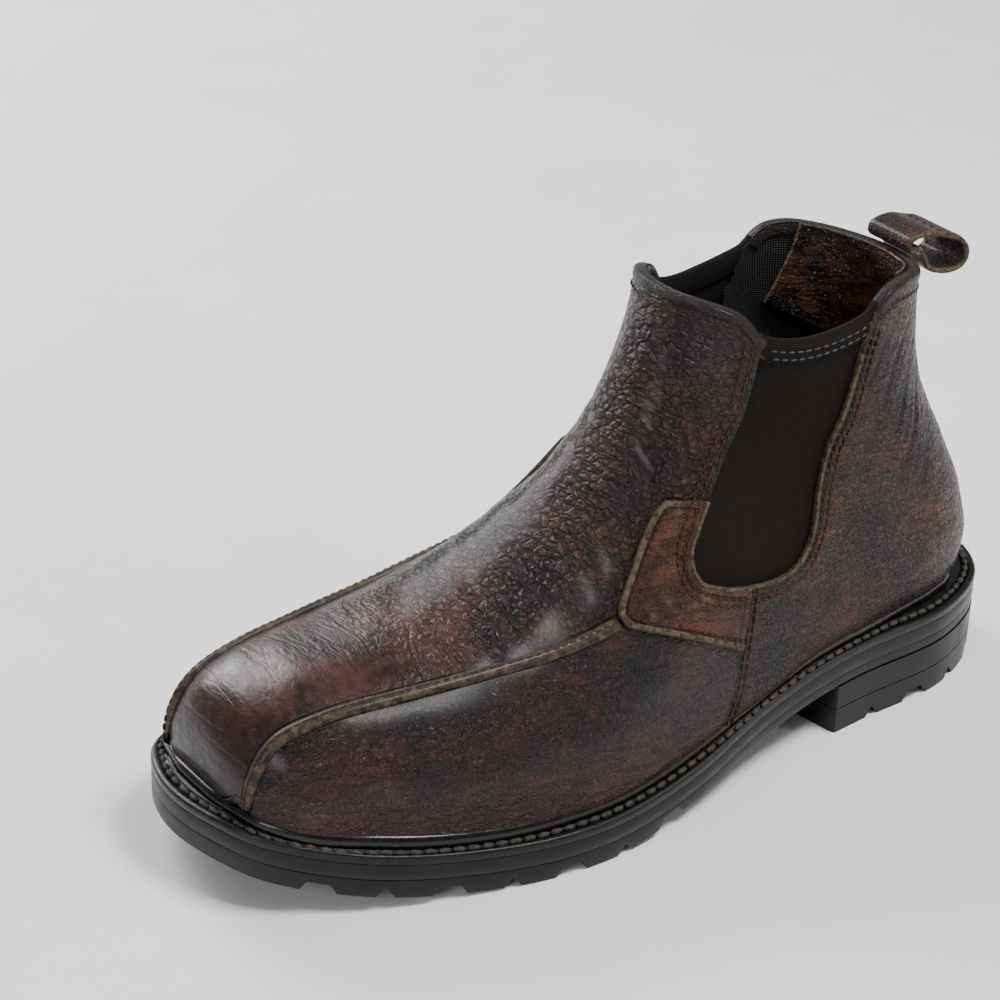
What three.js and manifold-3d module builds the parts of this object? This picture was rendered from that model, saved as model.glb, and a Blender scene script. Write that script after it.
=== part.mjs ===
// Chelsea boot, left foot. Millimetres, +Z up, toe towards -Y, outer side of the foot towards +X.
// The origin is on the floor, under the middle of the boot's bounding box.
import * as THREE from 'three';
import { mergeVertices } from 'three/addons/utils/BufferGeometryUtils.js';
import Module from 'manifold-3d';

const wasm = await Module();
wasm.setup();

// ---- Driving dimensions ----
const BOOT_LENGTH = 306; // sole, toe to heel
const BALL_WIDTH = 118.5; // sole across the ball of the foot
const SHAFT_HEIGHT = 155; // front of the shaft above the floor

const GAP = 0.3; // clearance between pieces that touch
const LEATHER = 1.8;
const STIFFENER = 0.9; // toe puff, heel counter and elastic web share this layer
const LINING = 1;
const OVERLAY = 1.3; // patches and piping lie on the leather
const BACK_STRIP = 1.7;
const BACK_STRIP_WIDTH = 17;
const BINDING = 0.8;
const HEEL_GRIP = 0.9;

const ELASTIC_MARGIN = 7; // elastic held behind the leather around its window
const BINDING_DROP = 7; // folded binding along the top of the elastic
const RIM = 1.2; // turned edge that closes leather and lining along the top
const PIPING_WIDTH = 3.2;

const WELT = 3;
const WELT_WIDTH = 17;
const RAND_HEIGHT = 4.2;
const RAND = 2.6;
const STITCH_INSET = 4.1; // middle of the stitch groove, in from the edge of the welt
const STITCH_GROOVE = 2.4;
const STITCH_DEPTH = 1.1;
const MIDSOLE = 5;
const OUTSOLE = 6.1;
const WAIST_THINNING = 2.7; // the outsole is this much thinner behind the ball
const INSOLE = 2.5;
const FOOTBED = 2;
const SHANK = 1.5;
const SHANK_WIDTH = 15;
const HEEL_TOP_PIECE = 8.7;

const TOE_SPRING = 13.3;
const HEEL_LIFT = 15.2;

const LUG_DEPTH = 3.4;
const LUG_PITCH = 20;
const LUG_START = 12.7; // first notch, along the outline from the toe
const LUG_REACH = 12; // how far the edge notches run in
const WIDE_NOTCH = 11;
const NARROW_NOTCH = 6;
const TREAD_GROOVE = 3;
const TREAD_DEPTH = 2.8;

const TAB_WIDTH = 20;
const TAB_THICKNESS = 1.8;
const TAB_HINGE_Y = 108;
const TAB_HINGE_RISE = 3.4; // hinge above the rim

const SKIN_ROWS = 20;
const SKIN_COLUMNS = 26;
const OUTLINE_POINTS = 56;
const FAR = 200; // reach of a cutting prism past the boot

// ---- Scales: the outlines below are drawn for a boot of 306 x 118.5 x 155 ----
const DRAWN_STACK = 14.7;
const SOLE_STACK = WELT + MIDSOLE + OUTSOLE + 2 * GAP; // floor to welt under the ball
const across = (x) => (x * BALL_WIDTH) / 118.5;
const along = (y) => (y * BOOT_LENGTH) / 306;
const rise = (z) => (z * SHAFT_HEIGHT) / 155;
const height = (z) => SOLE_STACK + rise(z - DRAWN_STACK);

// Sections of the last fan out from the toe, round the instep and up the shaft:
// front y z, back y z, half width outer inner, place of the widest point, powers, drift in x
const SECTIONS = [
  [-147.5, 25, -147, 19, 5, 5, 0.5, 2.2, 2.2, -4, -4],
  [-148.3, 38, -143, 15, 21, 20, 0.66, 2.5, 2.4, -4, -4],
  [-145, 49, -137.5, 13, 31, 29, 0.72, 2.4, 2.6, -4, -4],
  [-136.5, 58, -129, 11, 38, 35, 0.74, 2.3, 2.8, -3, -3],
  [-121, 62.5, -115, 9, 43.5, 40.5, 0.76, 2.3, 3, -2, -3],
  [-98, 65.5, -94, 8, 49, 45, 0.77, 2.3, 3, -1, -1],
  [-70, 71.5, -64, 7, 54, 46, 0.78, 2.2, 3, 0, 1],
  [-43, 83, -30, 8, 54, 43, 0.79, 2.1, 3, 0, 3],
  [-21, 98, 12, 13, 48, 39, 0.79, 2.1, 3, 0, 3],
  [-8, 112, 56, 19, 42, 36, 0.78, 2.2, 2.9, 0, 1],
  [-2, 122, 98, 21, 38, 36, 0.76, 2.3, 2.6, 0, 0],
  [1, 129, 129, 25, 36.5, 36, 0.74, 2.35, 2.3, 0, 0],
  [3.5, 135, 140.5, 40, 35.5, 35.5, 0.71, 2.4, 2.1, 0, 0],
  [6, 141, 137, 60, 34.5, 34.5, 0.66, 2.4, 2.1, 0, 0],
  [8, 147, 126.5, 82, 33.5, 33.5, 0.6, 2.4, 2.1, 0, 0],
  [10, 153, 115.5, 104, 33, 33, 0.54, 2.4, 2.1, 0, 0],
  [12.5, 161, 109, 130, 33.5, 33.5, 0.5, 2.4, 2.2, 0, 0],
  [14.5, 171, 109, 158, 34, 34, 0.5, 2.4, 2.2, 0, 0],
];

// Edge of the welt and sole, seen from above
const SOLE_OUTLINE = [
  [-6, -156], [24, -148], [42, -124], [55, -85], [61, -50], [57, -9], [47, 31], [41, 75],
  [37, 115], [22, 141], [0, 150], [-23, 141], [-38, 115], [-40, 75], [-39, 30], [-45, -15],
  [-56, -62], [-57.5, -97], [-46, -130], [-30, -149],
];

// Seams between the front panel and the side panels, seen from above
const SEAM_END = -29;
const OUTER_SEAM = [
  [20, -160], [20, -149], [20.5, -138], [22, -129], [26, -108], [33, -77], [38, -55], [40, -40], [40.5, SEAM_END],
];
const INNER_SEAM = [
  [-24, -160], [-24, -149], [-25, -138], [-25.4, -129], [-27, -108], [-29, -77], [-30.3, -55],
  [-30.7, -40], [-30.7, SEAM_END],
];
const SIDE_PANEL_REAR = [
  [SEAM_END - 2, -20], [SEAM_END - 2, 68.5], [-10, 70], [10, 78], [26, 80], [20, 60], [16, 47.5], [12.5, 35.5],
  [9, 28], [5, -20],
];

// Seen from the side, as y z
const BACK_RIM_TOP = 146.4;
const TOP_LINE = [
  [-20, 155.5], [-5, 155.5], [4, 155.5], [11, 155], [18, 152.8], [24, 150], [28, 146], [32, 141.6],
  [43, 139.4], [55, 140], [66, 142], [71.5, 144], [75, 147.5], [80, 150], [88, 150.4], [98, 148.6],
  [TAB_HINGE_Y, BACK_RIM_TOP], [120, 145], [140, 145],
];
const WINDOW = [
  [31.5, 160], [31, 141], [27, 118], [14.5, 98], [4, 85.5], [0.2, 78], [3, 72], [13.5, 67.5], [28, 64.3],
  [39, 63.8], [47, 67], [52, 75], [54, 86], [57, 100], [62.5, 112], [68, 131.5], [72, 144], [75, 160],
];
const PATCH = [
  [10.3, 93.5], [5, 95.4], [-2, 96.2], [-6.6, 93.8], [-13.4, 86.9], [-20, 79.7], [-26.5, 73], [-28.4, 69.6],
  [-26, 66.3], [-19, 63.6], [-6, 58.3], [7.5, 51.8], [14.5, 48], [17.5, 48.4], [19, 54], [21.7, 64.6],
  [24, 75], [16, 92],
];
const REAR_SEAM = [
  [3, 10], [6, 20], [9, 28], [12.5, 35.5], [16, 47.5], [20, 60], [27, 80], [42, 110], [56, 150], [62, 180],
];
const LINING_SEAM = [[30, -20], [33, 20], [36, 60], [43, 100], [52, 140], [58, 180]];
const HEEL_GRIP_EDGE = [
  [78, 170], [79, 145], [81, 122], [87, 103], [99, 94], [118, 91], [150, 90],
];
const COUNTER_EDGE = [
  [62, 5], [63, 25], [66, 45], [75, 63], [92, 76], [115, 81], [150, 84],
];
const PUFF_EDGE = [[-96, -20], [-98, 40], [-106, 100]];
const BACK_STRIP_TOP = 128;
const HEEL_BREAST = [
  [-84, 66.5], [-63, 64.5], [-42, 62.5], [-21, 59.5], [0, 58], [21, 59.5], [42, 62.5], [63, 64.5], [84, 66.5],
];
const SHANK_SPAN = [-28, 84];
const TREAD_END = -10; // the ball of the outsole has lugs, the waist is plain
const HEEL_TREAD_START = 76;

// Middle of the pull tab's leather, as y z from the hinge, which its fold bends round
const TAB_LOOP = [
  [-2, 0], [-1.3, -1.6], [0.5, -2], [2.6, -1.6], [4.6, -4.2], [5.6, -8.5], [9.5, -12.6], [18.5, -14.6],
  [28, -13.6], [32, -10], [30, -4.6], [22, 2.6], [12.5, 5.6], [4.5, 4.4], [-0.6, 2],
];

const MATERIALS = {
  leather: { color: 0x4a2417, roughness: 0.42 },
  patch: { color: 0x6b3b22, roughness: 0.5 },
  edge: { color: 0x6a5a3c, roughness: 0.7 },
  elastic: { color: 0x1b1817, roughness: 0.95 },
  binding: { color: 0x171414, roughness: 0.8 },
  lining: { color: 0x2b2b2d, roughness: 0.9 },
  grip: { color: 0x4b2416, roughness: 0.35 },
  board: { color: 0x8a6f4d, roughness: 0.9 },
  steel: { color: 0x9a9ea3, roughness: 0.35, metalness: 1 },
  cork: { color: 0x8b6238, roughness: 0.95 },
  rand: { color: 0x100e0e, roughness: 0.25 },
  welt: { color: 0x241c1a, roughness: 0.5 },
  thread: { color: 0x6b645c, roughness: 0.8 },
  rubber: { color: 0x1d1b1c, roughness: 0.75 },
};

const model = new THREE.Group();

// ---- Solids ----

function toSolid(geometry) {
  geometry.deleteAttribute('normal');
  geometry.deleteAttribute('uv');
  const merged = mergeVertices(geometry, 1e-4);
  const mesh = new wasm.Mesh({
    numProp: 3,
    vertProperties: new Float32Array(merged.attributes.position.array),
    triVerts: new Uint32Array(merged.index.array),
  });
  return new wasm.Manifold(mesh);
}

function addNode(name, solid, materialName) {
  const mesh = solid.getMesh();
  const geometry = new THREE.BufferGeometry();
  geometry.setAttribute('position', new THREE.BufferAttribute(new Float32Array(mesh.vertProperties), 3));
  geometry.setIndex(new THREE.BufferAttribute(new Uint32Array(mesh.triVerts), 1));
  geometry.computeVertexNormals();
  const node = new THREE.Mesh(geometry, new THREE.MeshStandardMaterial(MATERIALS[materialName]));
  node.name = name;
  model.add(node);
}

// Uniform Catmull-Rom through the rows of a table, at t from 0 to 1
function blendRows(rows, t) {
  const last = rows.length - 1;
  const place = Math.min(Math.floor(t * last), last - 1);
  const f = t * last - place;
  const row = (k, column) => {
    if (k < 0) return 2 * rows[0][column] - rows[1][column];
    if (k > last) return 2 * rows[last][column] - rows[last - 1][column];
    return rows[k][column];
  };
  return rows[0].map((_, column) => {
    const [a, b, c, d] = [-1, 0, 1, 2].map((step) => row(place + step, column));
    return b + 0.5 * f * (c - a + f * (2 * a - 5 * b + 4 * c - d + f * (3 * (b - c) + d - a)));
  });
}

// Point on the last: t runs from the toe up to the shaft, turn from -1 to 1 round the section.
// Turn 0 is the front line, -1 and 1 the back line, and positive turns are on the outer side.
function lastPoint(t, turn) {
  const [frontY, frontZ, backY, backZ, outer, inner, widest, frontPower, backPower, frontX, backX] =
    blendRows(SECTIONS, t);
  const angle = Math.abs(turn) * Math.PI;
  const inFront = angle <= Math.PI / 2;
  const power = 2 / (inFront ? frontPower : backPower);
  const bow = Math.abs(Math.cos(angle)) ** power;
  const share = inFront ? widest * (1 - bow) : widest + (1 - widest) * bow;
  const half = turn >= 0 ? outer : -inner;
  return new THREE.Vector3(
    across(frontX + (backX - frontX) * share + half * Math.sin(angle) ** power),
    along(frontY + (backY - frontY) * share),
    height(frontZ + (backZ - frontZ) * share),
  );
}

// Closed solid inside the last's surface moved outwards by offset
function lastSolid(offset) {
  const grid = [];
  for (let i = 0; i <= SKIN_ROWS; i += 1) {
    const ring = [];
    for (let j = 0; j < SKIN_COLUMNS; j += 1) {
      ring.push(lastPoint(i / SKIN_ROWS, -1 + (2 * j) / SKIN_COLUMNS));
    }
    grid.push(ring);
  }
  const at = (i, j) => grid[i][(j + SKIN_COLUMNS) % SKIN_COLUMNS];
  const positions = [];
  for (let i = 0; i <= SKIN_ROWS; i += 1) {
    for (let j = 0; j < SKIN_COLUMNS; j += 1) {
      const round = at(i, j + 1).clone().sub(at(i, j - 1));
      const onward = at(Math.min(i + 1, SKIN_ROWS), j).clone().sub(at(Math.max(i - 1, 0), j));
      const normal = round.cross(onward).normalize();
      positions.push(...at(i, j).clone().addScaledVector(normal, offset));
    }
  }
  const faces = [];
  for (let i = 0; i < SKIN_ROWS; i += 1) {
    for (let j = 0; j < SKIN_COLUMNS; j += 1) {
      const next = (j + 1) % SKIN_COLUMNS;
      const corner = [i * SKIN_COLUMNS + j, i * SKIN_COLUMNS + next];
      const above = corner.map((k) => k + SKIN_COLUMNS);
      faces.push(corner[0], corner[1], above[1], corner[0], above[1], above[0]);
    }
  }
  const centreOf = (start) => {
    const sum = [0, 0, 0];
    for (let k = 0; k < SKIN_COLUMNS * 3; k += 1) {
      sum[k % 3] += positions[start * 3 + k] / SKIN_COLUMNS;
    }
    return sum;
  };
  const topStart = SKIN_ROWS * SKIN_COLUMNS;
  const toeCentre = positions.length / 3;
  positions.push(...centreOf(0), ...centreOf(topStart));
  for (let j = 0; j < SKIN_COLUMNS; j += 1) {
    const next = (j + 1) % SKIN_COLUMNS;
    faces.push(toeCentre, next, j);
    faces.push(toeCentre + 1, topStart + j, topStart + next);
  }
  const geometry = new THREE.BufferGeometry();
  geometry.setAttribute('position', new THREE.Float32BufferAttribute(positions, 3));
  geometry.setIndex(faces);
  return toSolid(geometry);
}

function layer(outside, inside) {
  return lastSolid(outside).subtract(lastSolid(inside));
}

// ---- Outlines ----

const points = (table, mapX, mapY) => table.map(([a, b]) => new THREE.Vector2(mapX(a), mapY(b)));
const fromAbove = (table) => points(table, across, along);
const fromSide = (table) => points(table, along, height);

// Moves a closed outline outwards by a distance, whichever way round it runs
function grown(outline, distance) {
  const sign = THREE.ShapeUtils.area(outline) > 0 ? 1 : -1;
  const count = outline.length;
  return outline.map((point, k) => {
    const before = point.clone().sub(outline[(k + count - 1) % count]).normalize();
    const after = outline[(k + 1) % count].clone().sub(point).normalize();
    const middle = before.clone().add(after).normalize();
    const reach = (sign * distance) / Math.max(middle.dot(before), 0.4);
    return new THREE.Vector2(point.x + middle.y * reach, point.y - middle.x * reach);
  });
}

function smooth(outline, count) {
  return new THREE.SplineCurve(outline).getSpacedPoints(count);
}

function extrude(shape, depth) {
  return new THREE.ExtrudeGeometry(shape, { depth, bevelEnabled: false, steps: 1 });
}

// Outline seen from above, extruded in z
function upright(outline, bottom = -FAR, top = FAR) {
  return toSolid(extrude(new THREE.Shape(outline), top - bottom).translate(0, 0, bottom));
}

// Outline seen from the side as y z, extruded in x
function sideways(outline, from = -FAR, to = FAR) {
  const turnToSide = new THREE.Matrix4().makeBasis(
    new THREE.Vector3(0, 1, 0),
    new THREE.Vector3(0, 0, 1),
    new THREE.Vector3(1, 0, 0),
  );
  return toSolid(extrude(new THREE.Shape(outline), to - from).translate(0, 0, from).applyMatrix4(turnToSide));
}

const outerHalf = () => sideways(boxOutline(-FAR, FAR, -FAR, 2 * FAR), GAP / 2, FAR);
const innerHalf = () => sideways(boxOutline(-FAR, FAR, -FAR, 2 * FAR), -FAR, -GAP / 2);

function boxOutline(left, right, bottom, top) {
  return [[left, bottom], [right, bottom], [right, top], [left, top]].map(([a, b]) => new THREE.Vector2(a, b));
}

// ---- Heights along the boot ----

const STATIONS = [
  -165, -152, -138, -122, -106, -90, -75, -60, -38, -26, -14, 0, 20, 40, 58, 75, 165,
];

function blend(y, start, end) {
  return THREE.MathUtils.smoothstep(y, along(start), along(end));
}

function weltTop(y) {
  const spring = THREE.MathUtils.clamp((along(-60) - y) / along(93), 0, 1) ** 2;
  return SOLE_STACK + rise(TOE_SPRING) * spring + rise(HEEL_LIFT) * blend(y, -45, 75);
}

function outsoleBottom(y) {
  return weltTop(y) - SOLE_STACK + WAIST_THINNING * blend(y, -38, 0);
}

// Solid between two heights that follow the boot's length
function slab(lower, upper) {
  const places = STATIONS.map(along);
  const under = places.map((y) => new THREE.Vector2(y, lower(y)));
  const over = places.map((y) => new THREE.Vector2(y, upper(y)));
  return sideways([...under, ...over.reverse()]);
}

const aboveWelt = (start, end = FAR) => slab((y) => weltTop(y) + start, (y) => weltTop(y) + end);

function belowTop(drop) {
  const line = smooth(fromSide(TOP_LINE), 44).map((p) => new THREE.Vector2(p.x, p.y - drop));
  const front = new THREE.Vector2(-FAR, line[0].y);
  const back = new THREE.Vector2(FAR, line[line.length - 1].y);
  return sideways([front, ...line, back, new THREE.Vector2(FAR, -FAR), new THREE.Vector2(-FAR, -FAR)]);
}

// ---- Regions of the upper ----

const windowOutline = smooth(fromSide(WINDOW), 36);
const patchOutline = smooth(fromSide([...PATCH, PATCH[0]]), 36).slice(0, -1);

function behind(edge) {
  return [...smooth(fromSide(edge), 14), new THREE.Vector2(FAR, FAR), new THREE.Vector2(FAR, -20)];
}

const quarterOutline = behind(REAR_SEAM);

// The side panel lies outside its seam at the toe and under the patch further back
function sidePanelRegion(seam, side, extra) {
  const line = smooth(fromAbove(seam), 20);
  const wall = [...line, new THREE.Vector2(side * FAR, along(SEAM_END)), new THREE.Vector2(side * FAR, -FAR)];
  const rear = fromSide(SIDE_PANEL_REAR);
  const rearSolid = sideways(grown(rear, extra), side > 0 ? 0 : -FAR, side > 0 ? FAR : 0);
  return upright(grown(wall, extra)).add(rearSolid);
}

function onSide(solid, side) {
  return solid.intersect(side > 0 ? outerHalf() : innerHalf());
}

// ---- Upper ----

const LINING_OUT = -LEATHER - STIFFENER - 2 * GAP;
const STIFFENER_OUT = -LEATHER - GAP;
const INSIDE = LINING_OUT - LINING - GAP;
const SIDES = [
  { side: 1, suffix: 'outer', seam: OUTER_SEAM },
  { side: -1, suffix: 'inner', seam: INNER_SEAM },
];

function buildLeather() {
  const leather = layer(0, -LEATHER)
    .intersect(aboveWelt(GAP))
    .intersect(belowTop(RIM + GAP))
    .subtract(sideways(windowOutline));
  let front = leather.subtract(sideways(grown(quarterOutline, GAP)));
  const quarters = leather.intersect(sideways(quarterOutline));
  for (const { side, suffix, seam } of SIDES) {
    const panel = leather
      .intersect(sidePanelRegion(seam, side, 0))
      .subtract(sideways(grown(quarterOutline, GAP)));
    front = front.subtract(sidePanelRegion(seam, side, GAP));
    addNode(`side_panel_${suffix}`, panel, 'leather');
    addNode(`quarter_${suffix}`, onSide(quarters, side), 'leather');
  }
  addNode('front_panel', front, 'leather');
}

function buildOverlays() {
  const overlay = layer(GAP + OVERLAY, GAP).intersect(aboveWelt(RAND_HEIGHT + 2 * GAP));
  for (const { side, suffix, seam } of SIDES) {
    const patch = overlay.intersect(sideways(patchOutline)).subtract(sideways(windowOutline));
    addNode(`patch_${suffix}`, onSide(patch, side), 'patch');
    const line = smooth(fromAbove(seam), 20);
    const offset = (distance) => line.map((p) => new THREE.Vector2(p.x + distance, p.y));
    const ribbon = [...offset(PIPING_WIDTH / 2), ...offset(-PIPING_WIDTH / 2).reverse()];
    const piping = overlay
      .intersect(upright(ribbon))
      .subtract(sideways(grown(patchOutline, GAP)));
    addNode(`piping_${suffix}`, onSide(piping, side), 'edge');
  }
  const half = across(BACK_STRIP_WIDTH) / 2;
  const strip = layer(GAP + BACK_STRIP, GAP)
    .intersect(aboveWelt(RAND_HEIGHT + 2 * GAP))
    .intersect(upright(boxOutline(-half, half, along(60), FAR), 0, height(BACK_STRIP_TOP)));
  addNode('back_strip', strip, 'edge');
}

function buildElastic() {
  const webOutline = grown(windowOutline, ELASTIC_MARGIN);
  const web = layer(STIFFENER_OUT, STIFFENER_OUT - STIFFENER)
    .intersect(sideways(webOutline))
    .intersect(belowTop(RIM + GAP));
  const pocketOut = STIFFENER_OUT + GAP;
  const pocketIn = STIFFENER_OUT - STIFFENER - GAP;
  const fold = layer(pocketOut + BINDING, pocketIn - BINDING)
    .intersect(sideways(grown(windowOutline, -GAP)))
    .intersect(belowTop(0))
    .subtract(belowTop(BINDING_DROP));
  const binding = fold.subtract(layer(pocketOut, pocketIn).intersect(belowTop(RIM)));
  for (const { side, suffix } of SIDES) {
    addNode(`elastic_${suffix}`, onSide(web, side), 'elastic');
    addNode(`elastic_binding_${suffix}`, onSide(binding, side), 'binding');
  }
}

function buildRims() {
  const rim = layer(0, LINING_OUT - LINING)
    .intersect(belowTop(0))
    .subtract(belowTop(RIM))
    .subtract(sideways(windowOutline));
  const rear = sideways(boxOutline(along(50), FAR, 0, FAR));
  addNode('rim_front', rim.subtract(rear), 'binding');
  addNode('rim_back', rim.intersect(rear), 'binding');
}

function buildInside() {
  const lining = layer(LINING_OUT, LINING_OUT - LINING)
    .intersect(aboveWelt(GAP))
    .intersect(belowTop(RIM + GAP))
    .subtract(sideways(windowOutline));
  const rearOutline = behind(LINING_SEAM);
  addNode('lining_vamp', lining.subtract(sideways(grown(rearOutline, GAP))), 'lining');
  addNode('lining_quarter', lining.intersect(sideways(rearOutline)), 'lining');

  const gripEdge = smooth(fromSide(HEEL_GRIP_EDGE), 14);
  const grip = layer(INSIDE, INSIDE - HEEL_GRIP)
    .intersect(sideways([...gripEdge, new THREE.Vector2(FAR, FAR)]))
    .intersect(belowTop(RIM + GAP));
  addNode('heel_grip', grip, 'grip');

  const stiffener = layer(STIFFENER_OUT, STIFFENER_OUT - STIFFENER).intersect(aboveWelt(GAP));
  const counterEdge = smooth(fromSide(COUNTER_EDGE), 14);
  const counter = stiffener.intersect(sideways([...counterEdge, new THREE.Vector2(FAR, -20)]));
  addNode('heel_counter', counter, 'board');
  const puffEdge = smooth(fromSide(PUFF_EDGE), 8);
  const ahead = [...puffEdge, new THREE.Vector2(-FAR, FAR), new THREE.Vector2(-FAR, -20)];
  addNode('toe_puff', stiffener.intersect(sideways(ahead)), 'board');

  const floor = lastSolid(INSIDE);
  const footbedStart = INSOLE + 2 * GAP;
  addNode('insole_board', floor.intersect(aboveWelt(GAP, GAP + INSOLE)), 'board');
  addNode('footbed', floor.intersect(aboveWelt(footbedStart, footbedStart + FOOTBED)), 'lining');
}

// ---- Bottom ----

const soleCurve = new THREE.CatmullRomCurve3(
  SOLE_OUTLINE.map(([x, y]) => new THREE.Vector3(across(x), along(y), 0)),
  true,
);

function soleOutline(inset) {
  const edge = soleCurve.getSpacedPoints(OUTLINE_POINTS).slice(0, -1);
  return grown(edge.map((p) => new THREE.Vector2(p.x, p.y)), -inset);
}

function ring(outside, inside) {
  return upright(soleOutline(outside)).subtract(upright(soleOutline(inside)));
}

function buildWelt() {
  const rand = layer(GAP + RAND, GAP).intersect(aboveWelt(GAP, GAP + RAND_HEIGHT));
  addNode('rand', rand, 'rand');

  const half = STITCH_GROOVE / 2;
  const groove = ring(STITCH_INSET - half, STITCH_INSET + half).intersect(aboveWelt(-STITCH_DEPTH));
  addNode('welt', ring(0, WELT_WIDTH).intersect(aboveWelt(-WELT, 0)).subtract(groove), 'welt');
  const thread = ring(STITCH_INSET - half + GAP, STITCH_INSET + half - GAP)
    .intersect(aboveWelt(GAP - STITCH_DEPTH, -0.1));
  addNode('welt_thread', thread, 'thread');

  const shankOutline = (extra) => {
    const reach = across(SHANK_WIDTH) / 2 + extra;
    const [front, back] = SHANK_SPAN.map(along);
    const arcs = new THREE.Path();
    arcs.absarc(0, front, reach, Math.PI, 2 * Math.PI);
    arcs.absarc(0, back, reach, 0, Math.PI);
    return arcs.getPoints(8);
  };
  const pocket = upright(shankOutline(GAP)).intersect(aboveWelt(-SHANK - 2 * GAP));
  const filler = upright(soleOutline(WELT_WIDTH + GAP)).intersect(aboveWelt(-WELT, 0)).subtract(pocket);
  addNode('cork_filler', filler, 'cork');
  addNode('shank', upright(shankOutline(0)).intersect(aboveWelt(-SHANK - GAP, -GAP)), 'steel');
}

// Wedge cut into the edge of the tread at a place along the outline
function notch(distance, width, topWidth) {
  const place = soleCurve.getPointAt(distance);
  const tangent = soleCurve.getTangentAt(distance);
  const slope = outsoleBottom(place.y + 1) - outsoleBottom(place.y - 1);
  const forward = new THREE.Vector3(tangent.x, tangent.y, (tangent.y * slope) / 2).normalize();
  const inward = new THREE.Vector3(-tangent.y, tangent.x, 0).normalize();
  const upward = inward.clone().cross(forward).normalize();
  const profile = points(
    [[-width / 2 - 0.6, -1], [width / 2 + 0.6, -1], [topWidth / 2, LUG_DEPTH], [-topWidth / 2, LUG_DEPTH]],
    Number,
    Number,
  );
  const wedge = extrude(new THREE.Shape(profile), LUG_REACH + 4).translate(0, 0, -4);
  wedge.applyMatrix4(new THREE.Matrix4().makeBasis(forward, upward, inward));
  return { y: place.y, at: (z) => toSolid(wedge.clone().translate(place.x, place.y, z)) };
}

function edgeNotches() {
  const length = soleCurve.getLength();
  const count = 2 * Math.round(length / LUG_PITCH / 2);
  return Array.from({ length: count }, (_, k) => {
    const distance = (k / count + LUG_START / length) % 1;
    return k % 2 ? notch(distance, NARROW_NOTCH, 0.6) : notch(distance, WIDE_NOTCH, WIDE_NOTCH - 4);
  });
}

function treadGrooves(start, end, bottom) {
  const middle = upright(soleOutline(LUG_REACH + TREAD_GROOVE));
  const depth = slab((y) => bottom(y) - 1, (y) => bottom(y) + TREAD_DEPTH);
  let bars = ring(LUG_REACH, LUG_REACH + TREAD_GROOVE);
  const count = Math.floor((along(end) - along(start)) / (LUG_PITCH * 0.7));
  const step = (along(end) - along(start)) / count;
  for (let k = 1; k < count; k += 1) {
    const y = along(start) + k * step;
    const bar = upright(boxOutline(-FAR, FAR, y - TREAD_GROOVE / 2, y + TREAD_GROOVE / 2));
    bars = bars.add(bar.intersect(middle));
  }
  const zone = upright(boxOutline(-FAR, FAR, along(start), along(end)));
  return bars.intersect(zone).intersect(depth);
}

function buildSole() {
  const edge = upright(soleOutline(0));
  const midsoleBottom = -WELT - GAP - MIDSOLE;
  addNode('midsole', edge.intersect(aboveWelt(midsoleBottom, -WELT - GAP)), 'rubber');

  const notches = edgeNotches();
  let outsole = edge.intersect(slab(outsoleBottom, (y) => weltTop(y) + midsoleBottom - GAP));
  notches.filter(({ y }) => y < along(TREAD_END)).forEach((cut) => {
    outsole = outsole.subtract(cut.at(outsoleBottom(cut.y)));
  });
  addNode('outsole', outsole.subtract(treadGrooves(-152, TREAD_END, outsoleBottom)), 'rubber');

  const breast = smooth(fromAbove(HEEL_BREAST), 16);
  const rear = upright([...breast, new THREE.Vector2(FAR, 2 * FAR), new THREE.Vector2(-FAR, 2 * FAR)]);
  const heel = edge.intersect(rear);
  const heelBase = heel
    .intersect(slab(() => HEEL_TOP_PIECE + GAP, () => FAR))
    .intersect(slab(() => -FAR, (y) => outsoleBottom(y) - GAP));
  addNode('heel_base', heelBase, 'rubber');
  let topPiece = heel.intersect(slab(() => 0, () => HEEL_TOP_PIECE));
  notches.filter(({ y }) => y > along(HEEL_TREAD_START)).forEach((cut) => {
    topPiece = topPiece.subtract(cut.at(0));
  });
  addNode('heel_top_piece', topPiece, 'rubber');
}

// ---- Pull tab: a loop of leather hinged on the back of the rim ----

function buildPullTab() {
  const [hingeY, hingeZ] = [along(TAB_HINGE_Y), height(BACK_RIM_TOP) + TAB_HINGE_RISE];
  const loop = TAB_LOOP.map(([y, z]) => new THREE.Vector3(hingeY + y, hingeZ + z, 0));
  const middle = new THREE.CatmullRomCurve3(loop, true).getSpacedPoints(40).slice(0, -1);
  const outline = middle.map((p) => new THREE.Vector2(p.x, p.y));
  const outside = grown(outline, TAB_THICKNESS / 2);
  const inside = grown(outline, -TAB_THICKNESS / 2);
  const half = TAB_WIDTH / 2;
  addNode('pull_tab', sideways(outside, -half, half).subtract(sideways(inside)), 'patch');
}

buildLeather();
buildOverlays();
buildElastic();
buildRims();
buildInside();
buildWelt();
buildSole();
buildPullTab();

// Centre the boot over the origin and stand it on the floor
const bounds = new THREE.Box3().setFromObject(model);
const centre = bounds.getCenter(new THREE.Vector3());
model.position.set(-centre.x, -centre.y, -bounds.min.z);

export default model;
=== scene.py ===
# %% [markdown]
# # A chelsea boot, finished around its CAD frame
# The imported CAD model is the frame: every piece below is laid on its boxes.

# %% Load the frame
import math

import bmesh
import bpy
import numpy as np
from mathutils import Matrix, Vector


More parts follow.
